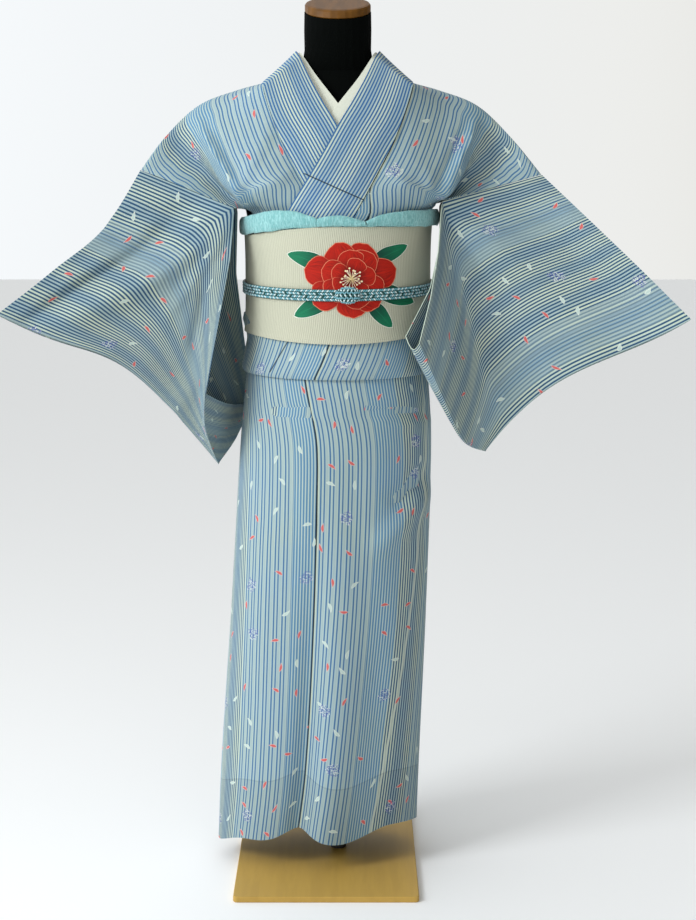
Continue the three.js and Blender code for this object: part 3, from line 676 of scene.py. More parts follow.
# %% [markdown]
# ## Sleeves
# A sleeve is a straight length folded over the arm: a flat bag, open at the cuff and below the armhole.
# On a form without arms it hangs from the shoulder and spreads. Each side is a surface between four edge
# lines, which keeps the edges where they are sewn, and the front, the foot and the back join into rings.
# A ridge: its share of the armhole and of the cuff, its height, the way to its valley and the valley's
# depth.
# A bend in the weave: its share of the armhole and of the cuff.

# %% Edges and creases of the sleeves
SLEEVES = {
    True: {
        "top": [(300, -20, 1049), (372, -62, 979), (440, -102, 912), (506, -140, 845)],
        "cuff": [(506, -140, 845), (440, -104, 805), (330, -64, 756), (262, -38, 690), (222, -20, 638)],
        "foot": [(117, -150, 812), (152, -108, 732), (186, -60, 660), (222, -20, 638)],
        "back_foot": [(98, -128, 820), (140, -84, 742), (186, -34, 668), (224, -18, 640)],
        "under_front": [(146, -84, 940), (134, -122, 876), (117, -150, 812)],
        "under_back": [(151, -38, 950), (134, -96, 886), (98, -128, 820)],
        "ridge": (0.3, 0.15, 8, 0.14, 10),
        "bend": (0.4, 0.8),
        "sag": 14,
    },
    False: {
        "top": [(-290, -20, 1056), (-340, -70, 972), (-405, -106, 916), (-487, -140, 852)],
        "cuff": [(-487, -140, 852), (-400, -126, 812), (-315, -108, 782), (-240, -64, 700), (-180, -20, 618)],
        "foot": [(-192, -112, 735), (-196, -80, 690), (-190, -50, 650), (-180, -20, 618)],
        "back_foot": [(-132, 78, 700), (-146, 50, 672), (-162, 20, 642), (-182, -18, 618)],
        "under_front": [(-156, -84, 930), (-174, -104, 830), (-192, -112, 735)],
        "under_back": [(-156, 62, 900), (-146, 80, 800), (-132, 78, 700)],
        "ridge": (0.42, 0.42, 15, 0.15, 14),
        "bend": (0.42, 0.16),
        "sag": 10,
    },
}
CUFF_OPEN = 0.55  # the share of the cuff that stands open
# x, z to x, z, width, depth
SLEEVE_CREASES = {
    True: [
        (196, 1033, 298, 1051, 10, 5), (153, 1001, 300, 959, 9, -6), (169, 930, 196, 690, 13, -7),
        (160, 1000, 285, 905, 9, 4), (152, 985, 250, 860, 8, -4), (185, 900, 235, 720, 12, 4),
        (330, 940, 440, 890, 16, -3), (260, 800, 390, 830, 18, 3),
    ],
    False: [
        (-142, 1006, -272, 1056, 9, -6), (-150, 1006, -330, 985, 10, -5), (-150, 995, -300, 895, 9, -5),
        (-150, 980, -245, 850, 8, 4), (-191, 884, -211, 790, 11, -6), (-205, 760, -250, 690, 12, 4),
        (-300, 960, -420, 905, 16, -4), (-260, 780, -380, 810, 18, 3),
    ],
}
SLEEVE_COLUMNS = 48  # from the top fold to the foot
ARMHOLE_GAP = (1.3, 0, -0.6)


# %% A sleeve from the armhole to the cuff
def patch(top, foot, inner, outer):
    """A surface between four edges."""
    def at(a, b):
        ruled = lerp(inner(b), outer(b), a) + lerp(top(a), foot(a), b)
        return ruled - lerp(lerp(top(0), foot(0), b), lerp(top(1), foot(1), b), a)
    return at


def soft(line, share, rounds=14):
    """Rounds the bends of a line of points, with its ends kept."""
    line = np.array(line)
    round_line = line.copy()
    for _ in range(rounds):
        round_line[1:-1] = (round_line[:-2] + 2 * round_line[1:-1] + round_line[2:]) / 4
    return list(lerp(line, round_line, share))


def sleeve(left, rows=60):
    """Rings from the armhole to the cuff: down the front, under the foot and up the back."""
    s = {k: [vec(*p) for p in v] if isinstance(v, list) else v for k, v in SLEEVES[left].items()}
    hole = ARMHOLE[left]
    sign = 1 if left else -1
    back = unit(vec(0.44 * sign, 0.9, -0.08))
    clear = vec(*ARMHOLE_GAP) if left else mirrored(vec(*ARMHOLE_GAP))
    shares = steps(SLEEVE_COLUMNS)
    source, target, height, valley, depth = s["ridge"]

    def edge(corner, under):
        sewn = [hole["end"], lerp(hole["end"], corner, 0.5), corner]
        return [p + clear for p in sewn] + under

    inner_front = edge(hole["front"], s["under_front"])
    inner_back = edge(hole["back"], s["under_back"])

    def open_by(b):
        """How far the cuff's back edge stands off its front edge."""
        if b == 0:
            return 0
        return 2 + 22 * math.sin(math.pi * b / CUFF_OPEN) if b < CUFF_OPEN else 2

    knot, bent_to = s["bend"]

    def top(a):
        return inner_front[0] if a == 0 else through(s["top"], a)

    def at_cuff(b):
        """The armpit's bend in the weave runs to another share of the cuff."""
        return bent_to * b / knot if b < knot else lerp(bent_to, 1, (b - knot) / (1 - knot))

    def cuff(b):
        return through(s["cuff"], at_cuff(b))

    front = patch(top, lambda a: through(s["foot"], a), lambda b: chain(inner_front, b), cuff)
    rear = patch(top, lambda a: through(s["back_foot"], a), lambda b: chain(inner_back, b),
                 lambda b: cuff(b) + back * open_by(at_cuff(b)))

    def crease(a, b):
        at = lerp(source, target, a)
        window = math.sin(math.pi * clamp(a)) ** 0.8 * smooth(b / 0.1) * smooth((1 - b) / 0.12)
        return window * (height * bell(b - at, 0.07) - depth * bell(b - at + valley, 0.07))

    grid = []
    for a in steps(rows):
        fronts = soft([front(a, b) for b in shares], smooth(a / 0.2))
        fronts = [p - back * crease(a, b) for p, b in zip(fronts, shares)]
        backs = soft([rear(a, b) for b in shares], smooth(a / 0.2))[:0:-1]
        sag = lerp(s["sag"], 1.2, a)
        under = [
            lerp(fronts[-1], backs[0], t) - vec(0, 0, sag * math.sin(math.pi * t))
            for t in (0.2, 0.4, 0.6, 0.8)
        ]
        row = fronts + under + backs
        free = smooth(a / 0.12)
        grid.append([p - back * free * crease_at(p, SLEEVE_CREASES[left], 4 + sign) for p in row])
    return np.array(grid)


# %% [markdown]
# ## Sash, bow and scarf
# A stiff sash goes twice round the waist and ends in a drum bow at the back. A soft scarf is tucked along
# its upper edge, and a cord runs over it. Each could start as a primitive that is bent, but the sash has
# to lie on the same body as the cloth, so it is rings of points on it, and the bow is bands along a path.

# %% Heights of the sash and the cord
SASH_Z = {"front": 976, "right": 960, "left": 974, "back": 974}
SASH_FOOT = {"front": 807, "side": 818}
DRUM_HALF_WIDTH = 130


def sash_top(angle):
    c = math.cos(rad(angle))
    side = SASH_Z["right"] if angle < 0 else SASH_Z["left"]
    return lerp(side, SASH_Z["front"] if c > 0 else SASH_Z["back"], c * c)


def sash_foot(angle):
    return lerp(SASH_FOOT["side"], SASH_FOOT["front"], max(0, math.cos(rad(angle))) ** 2)


ROUND = [360 * k / 144 - 180 for k in range(144)]
CORD_OUT = SASH_OUT + SASH_CLOTH / 2 + 2 * SEAM + CORD_DEPTH / 2


def sash_grid():
    return np.array([
        [on_body(a, lerp(sash_foot(a), sash_top(a), t), SASH_OUT) for a in ROUND] for t in steps(20)
    ])


def cord_z(angle):
    return CORD_Z + 6 * (1 - math.cos(rad(angle)))


# %% The drum bow, its tail and the end that crosses inside it
# y, bow at the sides, z
DRUM = [
    (122, 16, 1002), (132, 16, 1020), (152, 13, 1016), (170, 9, 974), (180, 8, 900), (180, 8, 820),
    (172, 7, 768), (162, 7, 752), (152, 8, 760), (139, 12, 800), (127, 16, 850), (118.8, 18, 892),
]
TAIL = [(116.1, 18, 890), (122.5, 16, 850), (132, 12, 800), (142, 8, 740), (148, 7, 680)]


STRIP_HALVES = 14  # columns from the middle to a side


def strip(path, half_width):
    """A band along a path in the middle plane, with its sides bent towards the body."""
    xs = [k / STRIP_HALVES for k in range(-STRIP_HALVES, STRIP_HALVES + 1)]
    rows = [[vec(u * half_width, y - bow * u * u, z) for u in xs] for y, bow, z in path]
    return finer(rows, 6, knot=STRIP_HALVES)


# the end that crosses inside the drum
HAND_HALF_WIDTH, HAND_HEIGHT, HAND_Z = 139, 56, 868
HAND_Y, HAND_BOW, HAND_LEAN = 122.3, 20.3, 16


def hand_grid():
    def at(u, t):
        y = HAND_Y - HAND_BOW * u * u + HAND_LEAN * (1 - t)
        return vec(u * HAND_HALF_WIDTH, y, HAND_Z + HAND_HEIGHT * (t - 0.5))

    return np.array([[at(2 * share - 1, t) for share in steps(40)] for t in steps(8)])


# %% Rolls of the scarf
# angle, half height
SCARF_LEFT = [
    (17.2, 4), (26, 8.5), (40, 11), (56, 12), (70, 12.5), (84, 12), (105, 9), (118, 5), (134, 5), (152, 6),
]
SCARF_RIGHT = [
    (12.2, 6.5), (26, 12.5), (40, 14.5), (56, 14), (70, 13.5), (84, 13), (105, 9), (118, 5), (134, 5),
    (152, 6),
]
SCARF_MIDDLE = [(-12, 6), (-7, 7.5), (0, 8), (9, 6.5), (17, 3.5)]
SCARF_LIFT = {1: 4.8, 0: 0, -1: 2.5}  # further out towards the back: left, middle, right


def scarf(table, sign, out, deep, seed, turns=40):
    """A folded strip in the round, with small wrinkles along it."""
    first, last = table[0][0], table[-1][0]
    count = max(24, round((last - first) * 1.1))
    way = sign or 1
    rings = []
    for t in steps(count):
        a = lerp(first, last, t)
        high = read(table, a, 1)
        lift = out + SCARF_LIFT[sign] * smooth((a - 24) / 30)
        at, ahead = (on_body(k, sash_top(k) + SEAM + high, lift) for k in (a * way, a * way + way))
        along = unit(ahead - at)
        up = unit(vec(0, 0, 1) - along * along[2])
        outward = unit(np.cross(along, up)) * way
        ring = []
        for k in range(turns):
            w = 2 * math.pi * k / turns
            rough = noise.noise(Vector((t * 14 + seed, math.cos(w) * 1.6, math.sin(w) * 1.6)))
            rough += 0.6 * noise.noise(Vector((t * 34, math.cos(w) * 2.5 + seed, math.sin(w) * 2.5)))
            fold = 0.35 * math.cos(3 * w + 2.5 * math.sin(t * 9 + seed))
            grow = 1 + (0.09 * rough - 0.05 * abs(fold))
            ring.append(at + up * high * grow * math.cos(w) + outward * deep * grow * math.sin(w))
        rings.append(ring)
    return np.array(rings)


def tube(name, rings):
    """A closed solid from rings, with fanned ends."""
    rows, cols = rings.shape[:2]
    points = list(rings.reshape(-1, 3))
    across, along = lengths(rings, ring=True)
    faces, corners = [], []
    for i in range(rows - 1):
        for j in range(cols):
            square = ((i, j), (i, j + 1), (i + 1, j + 1), (i + 1, j))
            faces.append(tuple(a * cols + b % cols for a, b in square))
            corners += [(across[a, b], along[a, b]) for a, b in square]
    for start, row in ((0, 0), ((rows - 1) * cols, rows - 1)):
        hub = len(points)
        points.append(rings[row].mean(axis=0))
        for j in range(cols):
            a, b = start + j, start + (j + 1) % cols
            faces.append((hub, b, a) if row == 0 else (hub, a, b))
            corners += [(across[row, j], along[row, j])] * 3
    return new_mesh(name, points, faces, corners)


# %% [markdown]
# ## Wiring materials
# A material is a tree of nodes. Adding and joining them one by one takes many lines, so a small class
# does it, with a method for each kind that comes back. Effects that several materials use are node
# groups.

# %% Helpers for node trees
class Nodes:
    """Adds and joins shader nodes."""

    def __init__(self, tree):
        self.tree = tree

    def add(self, kind, inputs=(), **settings):
        node = self.tree.nodes.new(kind)
        for key, value in settings.items():
            setattr(node, key, value)
        for key, value in dict(inputs).items():
            self.put(node.inputs[key], value)
        return node

    def put(self, socket, value):
        if isinstance(value, bpy.types.NodeSocket):
            self.tree.links.new(value, socket)
        else:
            socket.default_value = value

    def math(self, operation, *values):
        return self.add("ShaderNodeMath", dict(enumerate(values)), operation=operation).outputs[0]

    def ease(self, value, low, high, start=0.0, end=1.0):
        keys = {"Value": value, "From Min": low, "From Max": high, "To Min": start, "To Max": end}
        return self.add("ShaderNodeMapRange", keys, interpolation_type="SMOOTHSTEP").outputs[0]

    def mix(self, factor, a, b, blend="MIX"):
        node = self.add("ShaderNodeMix", {0: factor, 6: a, 7: b}, data_type="RGBA", blend_type=blend)
        return node.outputs[2]

    def vector(self, operation, a, b):
        return self.add("ShaderNodeVectorMath", {0: a, 1: b}, operation=operation).outputs[0]

    def xyz(self, vector):
        return self.add("ShaderNodeSeparateXYZ", {"Vector": vector}).outputs

    def rgb(self, color):
        return self.add("ShaderNodeSeparateColor", {"Color": color}).outputs

    def noise(self, vector, scale, detail, dimensions="3D", **more):
        inputs = {"Vector": vector, "Scale": scale, "Detail": detail, **more}
        return self.add("ShaderNodeTexNoise", inputs, noise_dimensions=dimensions).outputs[0]

    def cells(self, vector, scale, randomness):
        inputs = {"Vector": vector, "Scale": scale, "Randomness": randomness}
        return self.add("ShaderNodeTexVoronoi", inputs, voronoi_dimensions="2D").outputs

    def use(self, tree, **inputs):
        return self.add("ShaderNodeGroup", inputs, node_tree=tree).outputs

    def cloth(self):
        """The place on the flat cloth."""
        return self.add("ShaderNodeUVMap", uv_map="cloth").outputs[0]

    def cloth_mm(self):
        return self.vector("MULTIPLY", self.cloth(), (1000, 1000, 0))

    def bump(self, shader, height, strength, distance):
        node = self.add("ShaderNodeBump", {"Height": height, "Strength": strength, "Distance": distance})
        self.put(shader.inputs["Normal"], node.outputs[0])


def group(name, inputs, outputs):
    """A node group with typed inputs and outputs: returns it, its wires, its input sockets and its end."""
    tree = bpy.data.node_groups.new(name, "ShaderNodeTree")
    kinds = {"f": "NodeSocketFloat", "c": "NodeSocketColor", "v": "NodeSocketVector"}
    for direction, sockets in (("INPUT", inputs), ("OUTPUT", outputs)):
        for label, kind in sockets:
            tree.interface.new_socket(name=label, in_out=direction, socket_type=kinds[kind])
    wires = Nodes(tree)
    start = tree.nodes.new("NodeGroupInput")
    end = tree.nodes.new("NodeGroupOutput")
    return tree, wires, start.outputs, end


def srgb(r, g, b):
    """A colour from the usual 0 to 255 values."""
    values = [c / 255 for c in (r, g, b)]
    return tuple(c / 12.92 if c <= 0.04045 else ((c + 0.055) / 1.055) ** 2.4 for c in values) + (1.0,)


# %% [markdown]
# ## Lines in the weave
# All the cloths here have lines: woven stripes on the kimono, ribs on the sash. A Wave texture could draw
# them, but a group with a pitch, a place, a width and a softness in millimetres matches a woven line
# exactly.

# %% A group for one row of lines
def make_lines():
    inputs = [("U", "f"), ("Pitch", "f"), ("Place", "f"), ("Width", "f"), ("Soft", "f")]
    tree, n, at, end = group("lines", inputs, [("Line", "f")])
    turn = n.math("DIVIDE", n.math("SUBTRACT", at["U"], at["Place"]), at["Pitch"])
    share = n.math("SUBTRACT", n.math("FRACT", n.math("ADD", turn, 0.5)), 0.5)
    off = n.math("MULTIPLY", n.math("ABSOLUTE", share), at["Pitch"])
    half = n.math("MULTIPLY", at["Width"], 0.5)
    low = n.math("SUBTRACT", half, at["Soft"])
    high = n.math("ADD", half, at["Soft"])
    n.put(end.inputs["Line"], n.ease(off, low, high, 1.0, 0.0))
    return tree


LINES = make_lines()
print("group", LINES.name, "has", len(LINES.nodes), "nodes")

# %% [markdown]
# ## Woven stripes
# The weaver changes the warp across the cloth: a wide band of paired blue lines, a band of fine light
# lines and a dense navy band, again and again. Painted stripes would blur, so each band is made of rows
# of lines, and the place across the cloth picks the band.

# %% A group for the stripes
REPEAT = 184.0
PALE, CREAM = srgb(160, 178, 182), srgb(194, 204, 190)
BLUE, SOFT_BLUE = srgb(40, 98, 150), srgb(108, 146, 176)
SHADOW = srgb(20, 34, 50)


def make_stripes():
    inputs = [("U", "f"), ("Pairs", "f"), ("Fine", "f"), ("Dense", "f"), ("Ink", "c")]
    tree, n, at, end = group("woven_stripes", inputs, [("Color", "c"), ("Rib", "f")])

    def line(pitch, place, width, soft):
        return n.use(LINES, U=at["U"], Pitch=pitch, Place=place, Width=width, Soft=soft)[0]

    def after(edge):
        return n.ease(place, n.math("SUBTRACT", edge, 1.0), n.math("ADD", edge, 1.0))

    pairs = n.math("MAXIMUM", line(13.6, 2.6, 2.2, 0.45), line(13.6, 8.0, 2.0, 0.45))
    paired = n.mix(n.math("MULTIPLY", line(4.53, 0.3, 0.9, 0.4), 0.4), PALE, CREAM)
    paired = n.mix(n.math("MULTIPLY", pairs, 0.9), paired, BLUE)
    fine = n.mix(n.math("MULTIPLY", line(4.6, 1.2, 1.6, 0.45), 0.8), SOFT_BLUE, CREAM)
    fine = n.mix(n.math("MULTIPLY", line(4.6, 3.5, 1.0, 0.4), 0.6), fine, BLUE)
    dense = n.mix(line(4.7, 1.1, 2.3, 0.5), n.mix(line(47, 20, 20, 6), CREAM, PALE), at["Ink"])
    place = n.math("MULTIPLY", n.math("FRACT", n.math("DIVIDE", at["U"], REPEAT)), REPEAT)
    color = n.mix(after(at["Fine"]), n.mix(after(at["Pairs"]), paired, fine), dense)
    n.put(end.inputs["Color"], n.mix(at["Dense"], color, dense))
    n.put(end.inputs["Rib"], line(4.7, 1.1, 2.4, 0.9))
    return tree


STRIPES = make_stripes()
print("stripes repeat every", REPEAT, "mm")

# %% [markdown]
# ## Leaves and sprigs
# Small coral and white leaves, turned every way, and a few dotted violet sprigs are dyed on the stripes.
# They could be meshes, but then they wouldn't lie in the cloth. Voronoi cells give each motif a place and
# three random values, which pick its turn, its colour and whether it is there at all.

# %% Groups for the motifs
def scatter(n, at, randomness):
    """One motif to a cell: the scaled place, its cell's outputs and its cell's three random values."""
    cell = n.add("ShaderNodeCombineXYZ", {"X": at["Cell"], "Y": at["Cell"], "Z": 1.0})
    scaled = n.vector("DIVIDE", at["Vector"], cell.outputs[0])
    cells = n.cells(scaled, 1.0, randomness)
    return scaled, cells, n.rgb(cells["Color"])


def make_leaves():
    inputs = [("Vector", "v"), ("Cell", "f"), ("Length", "f"), ("Width", "f"), ("Share", "f")]
    tree, n, at, end = group("scattered_leaves", inputs, [("Leaf", "f"), ("Core", "f"), ("Pick", "f")])
    scaled, cells, pick = scatter(n, at, 0.85)
    off = n.vector("SUBTRACT", scaled, cells["Position"])
    spin = {"Vector": off, "Angle": n.math("MULTIPLY", pick["Red"], 6.283)}
    xy = n.xyz(n.add("ShaderNodeVectorRotate", spin, rotation_type="Z_AXIS").outputs[0])
    x = n.math("DIVIDE", n.math("MULTIPLY", xy["X"], at["Cell"]), n.math("MULTIPLY", at["Length"], 0.5))
    y = n.math("MULTIPLY", xy["Y"], at["Cell"])
    square = n.math("MULTIPLY", x, x)
    bent = n.math("ABSOLUTE", n.math("SUBTRACT", y, n.math("MULTIPLY", square, 1.3)))
    lean = n.math("ADD", 1.0, n.math("MULTIPLY", x, 0.45))
    leaning = n.math("MULTIPLY", n.math("SUBTRACT", 1.0, square), lean)
    deep = n.math("SUBTRACT", n.math("MULTIPLY", leaning, n.math("MULTIPLY", at["Width"], 0.5)), bent)
    near = n.math("LESS_THAN", n.math("ABSOLUTE", x), 1.2)
    kept = n.math("MULTIPLY", n.math("LESS_THAN", pick["Green"], at["Share"]), near)
    n.put(end.inputs["Leaf"], n.math("MULTIPLY", n.ease(deep, -0.15, 0.35), kept))
    n.put(end.inputs["Core"], n.ease(deep, 0.35, 0.95))
    n.put(end.inputs["Pick"], pick["Blue"])
    return tree


def make_sprigs():
    inputs = [("Vector", "v"), ("Cell", "f"), ("Reach", "f"), ("Share", "f")]
    tree, n, at, end = group("dotted_sprigs", inputs, [("Dots", "f"), ("Pick", "f")])
    _, cells, pick = scatter(n, at, 0.8)
    far = n.math("MULTIPLY", cells["Distance"], at["Cell"])
    reach = n.math("MULTIPLY", at["Reach"], n.math("ADD", 0.35, n.noise(at["Vector"], 0.16, 1.0, "2D")))
    dots = n.cells(at["Vector"], 0.42, 0.7)
    dot = n.ease(dots["Distance"], 0.3, 0.42, 1.0, 0.0)
    inside = n.math("MULTIPLY", n.ease(far, n.math("MULTIPLY", reach, 0.9), reach, 1.0, 0.0), dot)
    kept = n.math("LESS_THAN", pick["Green"], at["Share"])
    n.put(end.inputs["Dots"], n.math("MULTIPLY", inside, kept))
    n.put(end.inputs["Pick"], n.rgb(dots["Color"])["Red"])
    return tree


LEAVES = make_leaves()
SPRIGS = make_sprigs()
print("groups", LEAVES.name, "and", SPRIGS.name)

# %% [markdown]
# ## Kimono cloth
# All the kimono's pieces come from one bolt, yet each shows another stretch of it. So every piece has its
# own material from one function: shift places the bands, seed the motifs, and a few pieces add a hem that
# is darker below its height with a painted shade line at its ridge, a painted shade line along the seam
# edge, a slanted stripe or a painted shadow line. A fine bump follows the ribs.

# %% Base of every material
def material_base(name, roughness, specular):
    material = bpy.data.materials.new(name)
    material.use_nodes = True
    shader = material.node_tree.nodes["Principled BSDF"]
    shader.inputs["Roughness"].default_value = roughness
    shader.inputs["Specular IOR Level"].default_value = specular
    return material, Nodes(material.node_tree), shader


def cloth_base(name, roughness, sheen):
    material, n, shader = material_base(name, roughness, 0.25)
    shader.inputs["Sheen Weight"].default_value = sheen
    shader.inputs["Sheen Tint"].default_value = (1, 1, 1, 1)
    return material, n, shader


# %% Marks that some pieces add
def laid(n, mask, strength, color, other):
    """The colour with another one laid on it by a mask, at a strength."""
    return n.mix(n.math("MULTIPLY", mask, strength), color, other)


def slanted_stripe(n, xy, color, start, rise, width):
    """A pale stripe that leans over the others."""
    middle = n.math("ADD", n.math("MULTIPLY", xy["Y"], rise), start)
    off = n.math("ABSOLUTE", n.math("SUBTRACT", xy["X"], middle))
    return laid(n, n.ease(off, width / 2 - 0.5, width / 2 + 0.5, 1.0, 0.0), 0.75, color, CREAM)


def darker_hem_and_shade_line(n, xy, color, height):
    """Darker below the hem's height, with a thin painted shade line at the ridge of the turned hem."""
    under = n.ease(xy["Y"], height - 0.8, height + 0.8, 0.89, 1.0)
    # a thin painted shade line at the turned hem's ridge
    ridge = n.ease(n.math("ABSOLUTE", n.math("SUBTRACT", xy["Y"], height)), 0.3, 1.6, 0.84, 1.0)
    shade = n.add("ShaderNodeCombineXYZ", {k: n.math("MULTIPLY", under, ridge) for k in "XYZ"})
    return n.mix(1.0, color, shade.outputs[0], "MULTIPLY")


def painted_shadow_line(n, color, x, z, lean, low, high):
    """A painted shadow line across the front, between two heights in metres."""
    at = n.xyz(n.add("ShaderNodeTexCoord").outputs["Object"])
    leaning = n.math("MULTIPLY", n.math("SUBTRACT", at["Z"], z), lean)
    off = n.math("SUBTRACT", n.math("SUBTRACT", at["X"], x), leaning)
    within = n.math("MULTIPLY", n.math("GREATER_THAN", at["Z"], low), n.math("LESS_THAN", at["Z"], high))
    front = n.math("MULTIPLY", within, n.math("LESS_THAN", at["Y"], 0.0))
    wide = math.hypot(1, lean)
    line = n.ease(n.math("ABSOLUTE", off), 0.0005 * wide, 0.0013 * wide, 0.85, 0.0)
    return laid(n, line, front, color, SHADOW)


# %% The cloth itself
def kimono_cloth(name, shift=0.0, flip=False, bands=(84.0, 130.0), dense=0.0, ink=(48, 88, 126), seed=0.0,
                 share=0.62, slant=None, edge=False, fold=None, hem=0.0):
    material, n, shader = cloth_base(name, 0.8, 0.06)
    mm = n.cloth_mm()
    xy = n.xyz(mm)
    u = n.math("SUBTRACT", shift, xy["X"]) if flip else n.math("ADD", xy["X"], shift)
    stripes = n.use(STRIPES, U=u, Pairs=bands[0], Fine=bands[1], Dense=dense, Ink=srgb(*ink))
    place = n.vector("ADD", mm, (seed * 371.0 + 90, seed * 913.0 + 40, 0))
    leaves = n.use(LEAVES, Vector=place, Cell=46.0, Length=15.0, Width=5.0, Share=share)
    sprigs = n.use(SPRIGS, Vector=place, Cell=96.0, Reach=12.0, Share=share * 0.6)
    tint = n.mix(n.noise(mm, 0.012, 2.0, "2D"), (0.8, 0.92, 1.0, 1), (1.0, 1.0, 0.84, 1))
    color = n.mix(0.7, stripes["Color"], tint, "MULTIPLY")
    if slant:
        color = slanted_stripe(n, xy, color, *slant)
    if hem:
        color = darker_hem_and_shade_line(n, xy, color, hem)
    # a thin painted shade line along the piece's seam edge, where the fold at the seam lies in shade
    if edge:
        color = n.mix(n.ease(xy["X"], 0.7, 1.7, 0.8, 0.0), color, SHADOW)
    # a painted shadow line along a seam or where a band ends over another
    if fold:
        color = painted_shadow_line(n, color, *fold)
    flesh = n.mix(leaves["Core"], srgb(208, 190, 184), srgb(206, 92, 88))
    white = n.mix(leaves["Core"], srgb(222, 226, 214), srgb(186, 204, 196))
    leaf = n.mix(n.math("GREATER_THAN", leaves["Pick"], 0.5), white, flesh)
    violet = n.mix(n.math("GREATER_THAN", sprigs["Pick"], 0.6), srgb(78, 78, 160), srgb(206, 210, 214))
    color = laid(n, leaves["Leaf"], 0.93, color, leaf)
    n.put(shader.inputs["Base Color"], laid(n, sprigs["Dots"], 0.85, color, violet))
    height = n.math("ADD", n.math("MULTIPLY", stripes["Rib"], 0.6), n.noise(mm, 1.4, 3.0))
    n.bump(shader, height, 0.3, 0.0003)
    return material


# %% [markdown]
# ## Plain cloths
# The sash is cream with fine ribs, the half collar white and smooth, and the scarf a crinkled crepe. A
# modelled rib would need millions of faces, so ribs and crinkles are bump, with painted shade, a slightly
# darker tone, in their valleys.

# %% Ribbed cloth and crepe
def plain_cloth(name, color, rough, sheen, pitch, bump_strength, tint):
    """Ribs across the cloth at a pitch in millimetres, with painted shade, a slightly darker tone, between
    them.
    """
    material, n, shader = cloth_base(name, rough, sheen)
    mm = n.cloth_mm()
    rib = n.use(LINES, U=n.xyz(mm)["X"], Pitch=pitch, Place=0.0, Width=pitch * 0.5, Soft=pitch * 0.22)[0]
    # darker is painted shade in the rib valleys, and the cloudy noise also mixes it in at random
    darker = tuple(c * (1 - 2.4 * tint) for c in color[:3]) + (1,)
    base = laid(n, rib, 0.8, color, darker)
    n.put(shader.inputs["Base Color"], laid(n, n.noise(mm, 0.02, 3.0), 0.25, base, darker))
    height = n.math("SUBTRACT", n.noise(mm, 0.9, 4.0), n.math("MULTIPLY", rib, 1.2))
    n.bump(shader, height, bump_strength, 0.0005)
    return material


def crepe(name, color, shade):
    """Fine uneven crinkles that run round the scarf, with painted shade in their lows."""
    material, n, shader = cloth_base(name, 0.7, 0.3)
    stretch = n.vector("MULTIPLY", n.cloth(), (260, 900, 0))
    high = n.ease(n.noise(stretch, 0.55, 3.0, "2D", Distortion=0.6), 0.3, 0.7)
    cloudy = n.math("MULTIPLY", n.noise(stretch, 0.08, 2.0, "2D"), 0.5)
    tone = n.math("ADD", n.math("MULTIPLY", high, 0.6), cloudy)
    # the crinkles' lows take the shade colour, as painted shade, and the cloudy noise varies it at random
    n.put(shader.inputs["Base Color"], n.mix(tone, shade, color))
    n.bump(shader, high, 0.6, 0.0012)
    return material


# %% Materials for the pieces
SASH_MATERIAL = plain_cloth("sash_cloth", srgb(200, 200, 178), 0.75, 0.06, 3.1, 0.6, 0.09)
WHITE_MATERIAL = plain_cloth("half_collar_cloth", srgb(222, 224, 208), 0.8, 0.1, 1.6, 0.2, 0.02)
SCARF_MATERIAL = crepe("scarf_cloth", srgb(160, 212, 212), srgb(100, 166, 166))
SLEEVE_BANDS = (26.0, 52.0)
# the painted shadow line where the second collar band ends: x, z, lean, lowest and highest, in metres
COVER_SHADOW_LINE = (-0.0385, 1.0476, -2.28, 1.013, 1.052)
# edge adds a painted shade line along the seam, fold a painted shadow line, and hem a darker band under a
# painted shade line
PIECES = {
    "body_left": dict(shift=-3.0, seed=1, slant=(130.5, 0.09, 4.5), edge=True, hem=86.0),
    "body_right": dict(shift=0.0, seed=2),
    "overlap_left": dict(shift=119.0, flip=True, seed=3, share=0.8, edge=True,
                         fold=(-0.0717, 0.811, 0.59, 0.763, 0.822), hem=94.0),
    "overlap_right": dict(shift=119.0, flip=True, seed=4),
    "collar": dict(dense=1.0, ink=(48, 98, 152), seed=5, share=0.0, fold=COVER_SHADOW_LINE),
    "collar_cover": dict(dense=1.0, ink=(48, 98, 152), seed=6, share=0.0, fold=COVER_SHADOW_LINE),
    "sleeve_left": dict(shift=140.0, bands=SLEEVE_BANDS, dense=0.6, ink=(36, 76, 112), seed=7),
    "sleeve_right": dict(shift=110.0, bands=SLEEVE_BANDS, dense=0.6, ink=(36, 76, 112), seed=8),
}
CLOTHS = {name: kimono_cloth(name + "_stripes", **look) for name, look in PIECES.items()}
print(len(bpy.data.materials), "materials")

# %% [markdown]
# ## Finishes of the form
# The form comes from the frame as it is: a torso in black knit, a wooden cap, a board and a pole. It
# needs no new shapes, only finishes. Streaks on Object coordinates stay in place on each of them.

# %% Finish each node of the form
def finish_of(node, color, rough, grain, weave):
    """Streaks of a darker tone, and a knitted surface where there is a weave."""
    material, n, shader = material_base(node + "_finish", rough, 0.06 if weave else 0.25)
    at = n.add("ShaderNodeTexCoord").outputs["Object"]
    streaks = n.noise(n.vector("MULTIPLY", at, (90, 8, 60)), 1.0, 4.0)
    darker = tuple(c * (1 - grain) for c in color[:3]) + (1,)
    n.put(shader.inputs["Base Color"], n.mix(n.ease(streaks, 0.35, 0.7), darker, color))
    n.bump(shader, n.noise(at, 900.0, 2.0), weave, 0.0004)
    return material


# colour, roughness, grain, weave
FINISHES = {
    "torso": (srgb(3, 5, 4), 0.9, 0.1, 0.4),
    "cap": (srgb(112, 72, 18), 0.45, 0.3, 0.0),
    "base": (srgb(190, 154, 76), 0.5, 0.08, 0.0),
    "pole": (srgb(50, 48, 44), 0.4, 0.05, 0.0),
}
for obj in [o for o in bpy.data.objects if o.type == "MESH" and o.name.startswith("form_")]:
    kind = next(k for k in FINISHES if k in obj.name)
    obj.data.materials.clear()
    obj.data.materials.append(finish_of(obj.name, *FINISHES[kind]))
    print(obj.name, kind)
